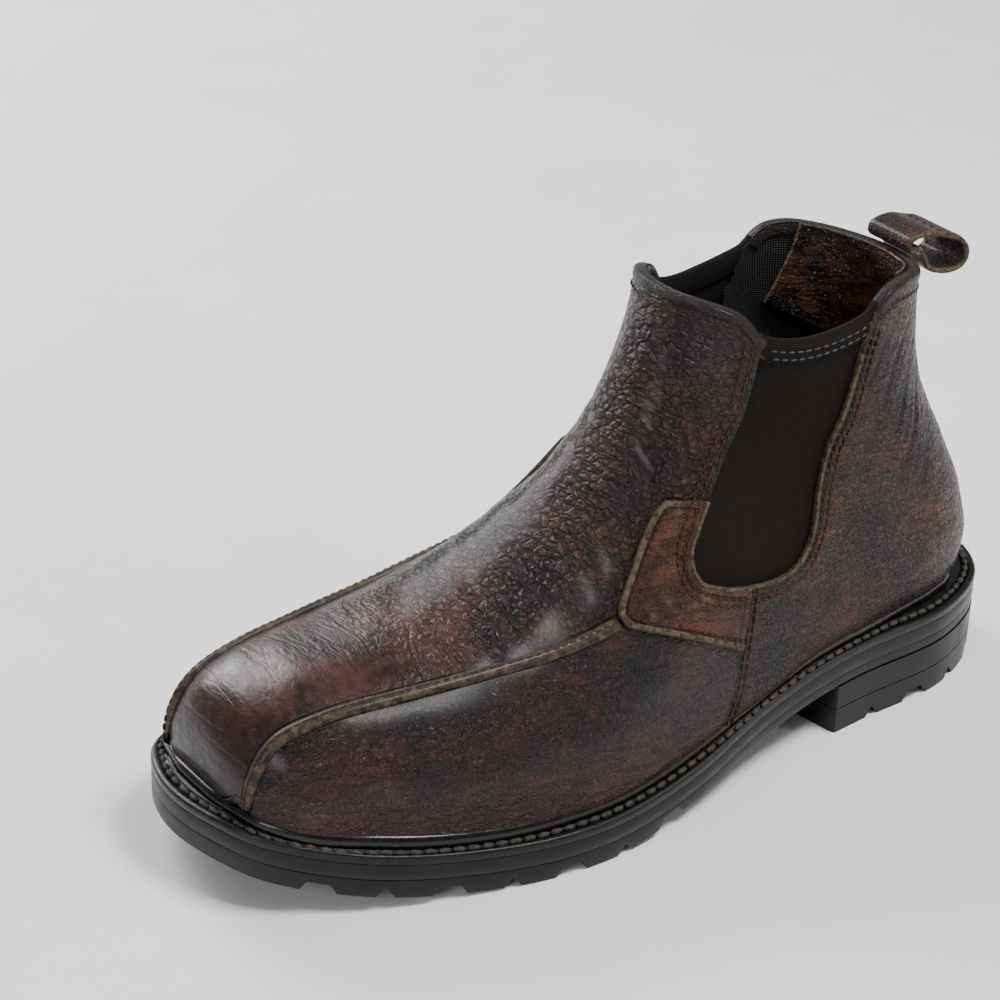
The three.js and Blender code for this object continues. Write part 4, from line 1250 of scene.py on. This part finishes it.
turns = np.linspace(-front_ends[-1], front_ends[1], 160)
line, normals = rim_line(turns, 0.6, -2.2)
swept("Front_rim", line, normals, RIM_SECTION, ["rim_front"], [(binding_leather, "binding")])
turns = np.linspace(rear_ends[1], 2 - rear_ends[-1], 240)
line, normals = rim_line(turns, 0.6, -2.2)
swept("Back_rim", line, normals, RIM_SECTION, ["rim_back"], [(binding_leather, "binding")])

for suffix, info in SIDES.items():
    side = info["side"]
    turns = side * np.linspace(front_ends[side] - 0.01, rear_ends[side] + 0.01, 90)
    line, normals = rim_line(turns if side > 0 else turns[::-1], 0.3, -2.55)
    swept(
        f"Elastic_binding_{suffix}", line, normals, BINDING_SECTION, [f"elastic_binding_{suffix}"],
        [(elastic_cloth, "binding")])
    seam_t, seam_turn = info["seam"]
    line, normals = on_last(seam_t, seam_turn, 0.0)
    section = [(side * a, b) for a, b in pill(4.2, 1.7, 0.4)]
    swept(f"Piping_{suffix}", line, normals, section, [f"piping_{suffix}"], [(piping_leather, "raw_edge")])

# %% [markdown]
# ## Rand, welt and soles
# The rand is a bead round the foot of the upper. Below it the welt, midsole and outsole share one outline:
# a closed profile is carried round it, and each corner of the profile is an inset and a height.

# %% The rand
toe = np.linspace(-0.34, 0.34, 120)
t_side = np.linspace(0.085, 0.664, 260)
ring_places = [(t_at_toe(toe, RISE), toe)]
for side in (1, -1):
    ring_places.append((t_side, side * np.interp(t_side, FEATHER_T, FEATHER[side])))
feather_points = np.vstack([last_point(a, b) for a, b in ring_places])
bearing = np.arctan2(feather_points[:, 0], feather_points[:, 1])
feather_points = feather_points[np.argsort(bearing)]
feather_line = smooth_curve(feather_points[::9], 420, closed=True, alpha=0.5)
feather_line[:, 2] = welt_top(feather_line[:, 1]) + 0.2
up_normals = np.broadcast_to(np.array([0.0, 0.0, 1.0]), feather_line.shape)
_, outward, _ = line_frame(feather_line, up_normals, True)
sign = np.sign((outward * (feather_line - feather_line.mean(0))).sum())
RAND_SECTION = [
    (-1.5, 0), (1.7, 0), (2.0, 0.6), (2.05, 1.5), (1.9, 2.6), (1.5, 3.5), (0.9, 4.1), (0.2, 4.4),
    (-0.8, 4.5), (-2.4, 4.0),
]
RAND_ROOM, LEDGE = 1.5, 5.0
nearest = np.linalg.norm(feather_line[:, None, :2] - edge_curve[None, :, :2], axis=2).min(1)
tuck = np.clip(5.2 - nearest, 0, 1.15)
tuck = np.convolve(np.concatenate([tuck[-8:], tuck, tuck[:8]]), np.ones(17) / 17, "valid")
rand_line = feather_line - sign * outward * tuck[:, None]
rand_section = [(sign * a, b) for a, b in RAND_SECTION]
swept("Rand", rand_line, up_normals, rand_section, ["rand"], [(rand_rubber, "rand_rubber")], closed=True)

# %% The sole stack
closed_edge = np.vstack([edge_curve, edge_curve[:1]])
edge_steps = np.linalg.norm(np.diff(closed_edge, axis=0), axis=1)
edge_walk = np.concatenate([[0], np.cumsum(edge_steps)])
EDGE_LENGTH = edge_walk[-1]
LOOK_AHEAD = 1.5


def on_edge(distance):
    """Points of the sole's edge at distances along it from the toe."""
    d = np.mod(distance, EDGE_LENGTH)
    return np.stack([np.interp(d, edge_walk, closed_edge[:, k]) for k in (0, 1)], -1)


def edge_at(distance):
    """Point and outward direction of the sole's edge at distances along it from the toe."""
    run = on_edge(distance + LOOK_AHEAD) - on_edge(distance - LOOK_AHEAD)
    run /= np.linalg.norm(run, axis=1, keepdims=True)
    return on_edge(distance), np.stack([run[:, 1], -run[:, 0]], -1)


def round_the_edge(a, b):
    """The shorter way round the sole's edge between two distances."""
    return abs((a - b + EDGE_LENGTH / 2) % EDGE_LENGTH - EDGE_LENGTH / 2)


def squeeze(distance):
    """Share of its full width that the welt's stitched ledge keeps where the upper comes near the edge."""
    point, _ = edge_at(distance)
    room = np.linalg.norm(point[:, None] - feather_line[None, :, :2], axis=2).min(1) - RAND_ROOM
    return np.clip(room / LEDGE, 0.4, 1.0)


def carried(distances, profile, narrow=False):
    """Profile [(inset, height function of y)] carried round the edge; rings[station, corner]."""
    point, out = edge_at(distances)
    share = squeeze(distances)[:, None] if narrow else 1.0
    rings = []
    for inset, height in profile:
        xy = point - out * inset * (share if inset < 6 else 1.0)
        rings.append(np.concatenate([xy, height(point[:, 1])[:, None]], 1))
    return np.stack(rings, 1)


def below_welt(drop):
    return lambda y: welt_top(y) - drop


def profile_piece(name, distances, profile, nodes, slots, narrow=False):
    rings = carried(distances, profile, narrow)
    no_edge = np.zeros(rings.shape[:2])
    return finish_mesh(sweep_bmesh(rings, True), name, "boot", nodes, slots, ring_uv(rings), no_edge)


even = np.arange(0, EDGE_LENGTH, EDGE_LENGTH / 540)
profile_piece("Welt", even, [
    (17, below_welt(0)), (5.2, below_welt(0)), (5.0, below_welt(0.1)), (4.85, below_welt(0.6)),
    (2.35, below_welt(0.6)), (2.2, below_welt(0.2)), (1.9, below_welt(0.05)), (1.1, below_welt(0.05)),
    (0.5, below_welt(0.25)), (0.1, below_welt(0.7)), (0.0, below_welt(1.5)), (0.05, below_welt(2.85)),
    (0.15, below_welt(3.0)), (1.2, below_welt(3.05)), (17, below_welt(3.05)),
], ["welt"], [(welt_leather, "welt_leather")], True)
profile_piece("Midsole", even, [
    (8, below_welt(3.1)), (0.6, below_welt(3.1)), (0.2, below_welt(3.14)), (0.1, below_welt(3.3)),
    (0.1, below_welt(6)), (0.1, below_welt(8.2)), (0.2, below_welt(8.3)), (8, below_welt(8.3)),
], ["midsole"], [(rubber, "sole_rubber")])

# %% [markdown]
# ### Tread
# The edge of the tread is notched, wide and narrow in turn. Stations are set exactly at each notch's corners
# and the bottom rows are lifted there, so the notches come out sharp without cutting anything away.

# %% Outsole
notch_count = 36
stations = [(d, 0.0) for d in even[::2]]
notches = []
for k in range(notch_count):
    middle = (k / notch_count * EDGE_LENGTH + 12.7) % EDGE_LENGTH
    y = edge_at(np.array([middle]))[0][0, 1]
    half, half_top = (3.0, 0.3) if k % 2 else (5.5, 3.5)
    notches.append((middle, y, half, half_top))
    if y < -10:
        stations = [s for s in stations if round_the_edge(s[0], middle) > half + 0.2]
        deep = 2.9 if y > -142 else 0.0
        stations += [(middle - half, 0.0), (middle - half_top, deep), (middle + half_top, deep), (middle + half, 0.0)]
stations.sort()
at = np.array([s[0] for s in stations])
lift = np.array([s[1] for s in stations])


def tread(raise_share, extra=0.0):
    return lambda y: outsole_bottom(y) + extra + lift * raise_share


rings = carried(at, [
    (9, below_welt(8.4)), (0.5, below_welt(8.4)), (0.25, below_welt(8.55)), (0.2, below_welt(8.8)),
    (0.2, tread(1, 0.5)),
    (0.35, tread(1, 0.15)), (0.7, tread(1, 0)), (11.9, tread(1, 0)), (12, tread(0, 0)),
    (12.3, lambda y: outsole_bottom(y) + 3.8),
    (12.4, below_welt(9.4)),
])
outsole_bm = sweep_bmesh(rings, True)
inner_edge, inner_out = edge_at(even)
inner_edge = inner_edge - inner_out * 12.1


def width_at(y, inset_points):
    right_half = inset_points[inset_points[:, 0] > 0]
    left_half = inset_points[inset_points[:, 0] <= 0]
    out = []
    for half in (left_half, right_half):
        order = np.argsort(half[:, 1])
        out.append(np.interp(y, half[order, 1], half[order, 0]))
    return out


def bottom_block(bm, y0, y1, drop, top, points, bevel):
    """A block of tread between two values of y, filling the inset outline; the bevel argument is not used."""
    rows = np.linspace(y0, y1, max(int((y1 - y0) / 6), 2) + 1)
    left_x, right_x = width_at(rows, points)
    x = left_x[:, None] + (right_x - left_x)[:, None] * np.linspace(0, 1, 9)
    y = np.broadcast_to(rows[:, None], x.shape)
    low_side = np.stack([x, y, outsole_bottom(y) + drop], -1)
    high_side = np.stack([x, y, outsole_bottom(y) + top], -1)
    corner = {}
    for level, layer in enumerate((low_side, high_side)):
        for i in range(x.shape[0]):
            for j in range(x.shape[1]):
                corner[level, i, j] = bm.verts.new(placed(layer[i, j]))
    n, m = x.shape[0] - 1, x.shape[1] - 1
    for i in range(n):
        for j in range(m):
            bm.faces.new([corner[0, a, b] for a, b in ((i, j), (i + 1, j), (i + 1, j + 1), (i, j + 1))])
            bm.faces.new([corner[1, a, b] for a, b in ((i, j), (i, j + 1), (i + 1, j + 1), (i + 1, j))])
    walls = [((i, 0), (i + 1, 0)) for i in range(n)] + [((i + 1, m), (i, m)) for i in range(n)]
    walls += [((0, j + 1), (0, j)) for j in range(m)] + [((n, j), (n, j + 1)) for j in range(m)]
    for a, b in walls:
        bm.faces.new([corner[0, *b], corner[0, *a], corner[1, *a], corner[1, *b]])


bottom_block(outsole_bm, -144.2, 137, 2.8, 4.5, inner_edge, 0)
bar_edge = edge_at(even)[0] - inner_out * 15
bars = int((-10 + 152) / 14)
bar_step = (-10 + 152) / bars
for k in range(bars):
    y0, y1 = -152 + k * bar_step + 1.5, -152 + (k + 1) * bar_step - 1.5
    if y1 > -140:
        bottom_block(outsole_bm, max(y0, -140.5), y1, 0.0, 3.2, bar_edge, 0.5)
bottom_block(outsole_bm, -10, 136.5, 0.0, 3.2, edge_at(even)[0] - inner_out * 11.9, 0)
bmesh.ops.recalc_face_normals(outsole_bm, faces=outsole_bm.faces)
finish_mesh(outsole_bm, "Outsole", "boot", ["outsole"], [(rubber, "sole_rubber")])

# %% [markdown]
# ### Heel
# The heel is two stacked lifts cut off by the curved breast. Wedges are subtracted from the lower one for its
# notches; the cut is baked into plain mesh and the cutter removed, and both lifts keep a soft bevel modifier.

# %% Heel
BREAST = smooth_curve([
    (-84, 66.5), (-63, 64.5), (-42, 62.5), (-21, 59.5), (0, 58), (21, 59.5), (42, 62.5), (63, 64.5),
    (84, 66.5),
], 200)
heel_edge, heel_out = edge_at(np.arange(0, EDGE_LENGTH, EDGE_LENGTH / 480))
behind = heel_edge[:, 1] > np.interp(heel_edge[:, 0], BREAST[:, 0], BREAST[:, 1])
heel_arc = heel_edge[behind]
breast_run = BREAST[(BREAST[:, 0] > heel_arc[-1, 0]) & (BREAST[:, 0] < heel_arc[0, 0])][::5]
heel_loop = np.vstack([heel_arc, breast_run])


def prism(loop, low_z, high_z):
    """A closed prism over a plan outline, with its own height at each corner of the top."""
    bm = bmesh.new()
    base = [bm.verts.new(placed((x, y, low_z))) for x, y in loop]
    roof = [bm.verts.new(placed((x, y, high_z(y)))) for x, y in loop]
    bm.faces.new(base)
    bm.faces.new(roof[::-1])
    for k in range(len(loop)):
        n = (k + 1) % len(loop)
        bm.faces.new((base[n], base[k], roof[k], roof[n]))
    bmesh.ops.recalc_face_normals(bm, faces=bm.faces)
    bmesh.ops.triangulate(bm, faces=[f for f in bm.faces if len(f.verts) > 4])
    return bm


def bevelled(obj, width, angle=35):
    bevel = obj.modifiers.new("Soft edge", "BEVEL")
    bevel.width = width * MM
    bevel.segments = 2
    bevel.limit_method = "ANGLE"
    bevel.angle_limit = math.radians(angle)
    return obj


def baked(obj):
    """Replace the mesh with the result of its modifiers."""
    graph = bpy.context.evaluated_depsgraph_get()
    mesh = bpy.data.meshes.new_from_object(obj.evaluated_get(graph))
    obj.modifiers.clear()
    obj.data = mesh
    return obj


def heel_piece(name, low_z, high_z, nodes, cutter=None):
    obj = finish_mesh(prism(heel_loop, low_z, high_z), name, "boot", nodes, [(rubber, "sole_rubber")])
    if cutter is not None:
        blade_mesh = bpy.data.meshes.new("Blade")
        cutter.to_mesh(blade_mesh)
        cutter.free()
        blade = bpy.data.objects.new("Blade", blade_mesh)
        bpy.context.collection.objects.link(blade)
        cut = obj.modifiers.new("Notches", "BOOLEAN")
        cut.object = blade
        cut.solver = "EXACT"
        baked(obj)
        bpy.data.objects.remove(blade)
    obj.data.shade_flat()
    obj.data.set_sharp_from_angle(angle=math.radians(30))
    bevelled(obj, 0.5)
    return obj


heel_piece("Heel_base", 9.0, lambda y: float(outsole_bottom(y)) - 0.3, ["heel_base"])
wedges = bmesh.new()
for middle, y, half, half_top in notches:
    if y > 76:
        (centre,), (out,) = edge_at(np.array([middle]))
        run = np.array([-out[1], out[0]])
        profile = [(-half - 0.6, -1), (half + 0.6, -1), (half_top, 3.4), (-half_top, 3.4)]
        near = [wedges.verts.new(placed((*(centre + out * 4 + run * a), z))) for a, z in profile]
        far = [wedges.verts.new(placed((*(centre - out * 12 + run * a), z))) for a, z in profile]
        wedges.faces.new(near)
        wedges.faces.new(far[::-1])
        for k in range(4):
            wedges.faces.new((near[(k + 1) % 4], near[k], far[k], far[(k + 1) % 4]))
bmesh.ops.recalc_face_normals(wedges, faces=wedges.faces)
heel_piece("Heel_top_piece", 0.0, lambda y: 8.7, ["heel_top_piece"], wedges)

# %% [markdown]
# ## Pull tab
# A strap of leather is folded into a loop and stitched at the back of the rim. The section has rounded
# corners; its narrow faces show the raw, sandy inside of the hide.

# %% Pull tab
TAB_LOOP = [
    (-2, 0), (-1.3, -1.6), (0.5, -2), (2.6, -2.0), (4.8, -4.6), (6.4, -8.2), (10, -10.8), (16, -12.2),
    (21.5, -11.8), (23.8, -9.2), (23.2, -5.2), (19.5, -1.6), (13, 0.8), (5.5, 2.6), (-0.6, 2),
]
loop = smooth_curve(TAB_LOOP, 110, closed=True)
TAB_FOOT_Y, TAB_FOOT_Z, TAB_HALF_WIDTH = 108, 149.8, 10
loop = np.stack([np.zeros(len(loop)), TAB_FOOT_Y + loop[:, 0], TAB_FOOT_Z + loop[:, 1]], -1)
tangent = np.roll(loop, -1, 0) - np.roll(loop, 1, 0)
tangent /= np.linalg.norm(tangent, axis=1, keepdims=True)
outward = np.cross(np.broadcast_to([1.0, 0, 0], tangent.shape), tangent)
flat_x = np.linspace(-9.3, 9.3, 15)
TAB_SECTION = [(x, 0.9) for x in flat_x] + [(9.75, 0.7), (10, 0.3), (10, -0.3), (9.75, -0.7)]
TAB_SECTION += [(x, -0.9) for x in flat_x[::-1]] + [(-9.75, -0.7), (-10, -0.3), (-10, 0.3), (-9.75, 0.7)]
section = np.array(TAB_SECTION)
swell = 0.12 * np.sin(np.arange(len(loop)) * 0.35)
thick = section[None, :, 1, None] * (1 + swell[:, None, None])
rings = loop[:, None] + np.array([1.0, 0, 0]) * section[None, :, :1] + outward[:, None] * thick
tab_edge = np.broadcast_to(TAB_HALF_WIDTH - np.abs(section[:, 0]), rings.shape[:2])
pull_tab = finish_mesh(sweep_bmesh(rings, True), "Pull_tab", "tab", ["pull_tab"],
                       [(tab_leather, "patch_leather"), (raw_edge, "raw_edge")], ring_uv(rings), tab_edge)
corners = len(section)
for polygon in pull_tab.data.polygons:
    k = polygon.index % corners
    polygon.material_index = 1 if 14 <= k < 19 or 33 <= k else 0

# %% [markdown]
# ## Stitching
# Every seam gets its row at the distance a shoemaker would use: one or two rows close to a folded edge, a
# single row inside the raw edge of the patch, and heavy stitches in the groove of the welt.

# %% Stitches
rows, binding_rows = [], []
STITCH = (2.9, 2.4, 0.42, 0.08)


def row(points, normals, stitch=STITCH):
    rows.append((points, normals, *stitch))


def fine_line(t, turn, offset, count=90):
    t, turn = evenly([np.asarray(t), np.asarray(turn)], count)
    return on_last(t, turn, offset)


for suffix, info in SIDES.items():
    side = info["side"]
    gore_middle = last_point(np.array([0.7]), np.array([side * 0.31]))[0]
    instep = last_point(np.array([0.6]), np.array([0.0]))[0]
    heel_side = last_point(np.array([0.75]), np.array([side * 0.8]))[0]
    f_t, f_turn = info["front"]
    below_top = f_t < 0.875
    line, normals = fine_line(f_t[below_top], f_turn[below_top], 0.1)
    for gap in (2.6, 5.4):
        row(toward(line, normals, gap, instep), normals)
    w_t, w_turn = info["rear"]
    keep = (w_t > 0.57) & (w_t < 0.93) | (w_t > 0.524) & (np.arange(len(w_t)) > 8) & (w_t < 0.93)
    line, normals = fine_line(w_t[keep], w_turn[keep], 0.1)
    row(toward(line, normals, 2.2, heel_side), normals)
    row(toward(line, normals, 4.6, heel_side), normals)
    r_t, r_turn = info["rear_seam"]
    line, normals = fine_line(r_t, r_turn, 0.1, 50)
    for gap in (2.2, 4.6):
        row(toward(line, normals, gap, heel_side), normals)
    s_t, s_turn = info["seam"]
    line, normals = fine_line(s_t, s_turn, 1.62, 120)
    row(toward(line, normals, 0.9, instep), normals)
    line, normals = fine_line(*info["patch_outer"], 1.75, 120)
    middle = last_point(np.array([0.49]), np.array([side * 0.33]))[0]
    row(toward(line, normals, 3.0, middle), normals)
    line, normals = fine_line(*info["patch_inner"], 1.75, 90)
    middle = last_point(np.array([0.44]), np.array([side * 0.30]))[0]
    for gap in (3.0, 5.2):
        row(toward(line, normals, gap, middle), normals)
    turns = side * np.linspace(front_ends[side] + 0.004, rear_ends[side] - 0.004, 60)
    for drop in (3.2, 5.8):
        line, normals = rim_line(turns, drop + 0.3, -1.1)
        binding_rows.append((line, normals, *STITCH))
    turns = side * np.linspace(rear_ends[side] + 0.008, 0.97, 90)
    line, normals = rim_line(turns, 6.4, 0.1)
    row(line, normals)
for side in (-1, 1):
    line, normals = on_last(strip_t, side * turns_off_centre(strip_t, STRIP_ROW), 2.1)
    row(line, normals)
turns = np.linspace(-front_ends[-1] + 0.012, front_ends[1] - 0.012, 120)
line, normals = rim_line(turns, 6.0, 0.1)
row(line, normals)
across_tab = np.linspace(-8.5, 8.5, 30)
seam_y, seam_z = TAB_FOOT_Y + 12.5, TAB_FOOT_Z + 1.8
tab_line = np.stack([across_tab, np.full(30, seam_y), np.full(30, seam_z)], -1)
straight_up = np.broadcast_to([0.0, 0.0, 1.0], tab_line.shape)
stitches("Upper_stitches", rows, thread)
stitches("Binding_stitches", binding_rows, grey_thread)
stitches("Tab_stitches", [(tab_line, straight_up, *STITCH)], thread, "tab")

walk = np.arange(0, EDGE_LENGTH, 2.0)
groove, groove_out = edge_at(walk)
groove = groove - groove_out * 3.6 * squeeze(walk)[:, None]
groove_line = np.concatenate([groove, (welt_top(groove[:, 1]) - 0.1)[:, None]], 1)
groove_up = np.broadcast_to([0.0, 0.0, 1.0], groove_line.shape)
heavy = [(groove_line, groove_up, 4.5, 4.3, 1.1, 0.0)]
welt_stitches = stitches("Welt_stitches", heavy, light_thread)
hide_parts("welt_thread")

# %% [markdown]
# ## Parts inside
# The board, cork, shank, stiffeners and footbed stay as the CAD made them: they are plain sheets in the real
# boot too. They only need their finishes.

# %% Inner parts
INNER = {
    "toe_puff": fibreboard, "heel_counter": fibreboard, "insole_board": fibreboard, "cork_filler": cork,
    "shank": steel, "footbed": lining_leather,
}
for node_name, material in INNER.items():
    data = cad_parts[node_name].data
    data.materials.clear()
    data.materials.append(material)

# %% [markdown]
# ## Camera, light and floor
# A long lens looks down on the outer front of the boot. Two large soft lamps and a pale floor make the
# gentle studio light that waxed leather needs to show its highlights.

# %% Camera and lights
def look(azimuth, elevation, roll):
    a, e, r = (math.radians(v) for v in (azimuth, elevation, roll))
    back = Vector((math.sin(a) * math.cos(e), -math.cos(a) * math.cos(e), math.sin(e)))
    right = Vector((math.cos(a), math.sin(a), 0))
    up = back.cross(right)
    return right * math.cos(r) + up * math.sin(r), up * math.cos(r) - right * math.sin(r), back


right, up, back = look(53.36, 27.61, 2.41)
target = Vector(placed((-40.56, -14.43, 69.57)))
camera_data = bpy.data.cameras.new("Camera")
camera_data.lens = 106.6
camera_data.sensor_width = 36
camera = bpy.data.objects.new("Camera", camera_data)
bpy.context.collection.objects.link(camera)
place = target + back * 0.94789
camera.matrix_world = Matrix((
    (right.x, up.x, back.x, place.x), (right.y, up.y, back.y, place.y), (right.z, up.z, back.z, place.z), (0, 0, 0, 1)))
bpy.context.scene.camera = camera


def lamp(name, position, size, power, tint=(1, 1, 1), aim=(0, 0, 0.07)):
    data = bpy.data.lights.new(name, "AREA")
    data.shape = "RECTANGLE"
    data.size, data.size_y = size
    data.energy = power
    data.color = tint
    obj = bpy.data.objects.new(name, data)
    bpy.context.collection.objects.link(obj)
    obj.location = position
    obj.rotation_euler = (Vector(aim) - Vector(position)).to_track_quat("-Z", "Y").to_euler()


lamp("Window", (-1.25, -0.1, 0.85), (0.8, 1.0), 26)
lamp("Top", (0.5, 0.3, 1.3), (0.5, 0.4), 20)
lamp("Right", (1.0, 1.1, 0.7), (0.2, 0.5), 4)
lamp("Front", (0.6, -1.4, 0.7), (0.6, 0.4), 7)

world = bpy.data.worlds.new("Studio")
bpy.context.scene.world = world
world.use_nodes = True
world.node_tree.nodes["Background"].inputs["Color"].default_value = (0.95, 0.96, 1.0, 1)
world.node_tree.nodes["Background"].inputs["Strength"].default_value = 0.3

bm = bmesh.new()
bmesh.ops.create_grid(bm, x_segments=2, y_segments=2, size=6)
mesh = bpy.data.meshes.new("Floor")
bm.to_mesh(mesh)
bm.free()
floor = bpy.data.objects.new("Floor", mesh)
bpy.context.collection.objects.link(floor)
floor_paint = plain("Floor paper", colour("#f1f1f1"), colour("#f6f6f6"), 0.7, scale=0.01, depth=0.01)
mesh.materials.append(floor_paint)
floor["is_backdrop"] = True

# %% [markdown]
# ## Size and finish
# The box round everything that renders, leaving out the floor, is measured. The finished boot has to stay
# inside the CAD frame's box with only a few millimetres of leather grain over.

# %% Finish
low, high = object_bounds()
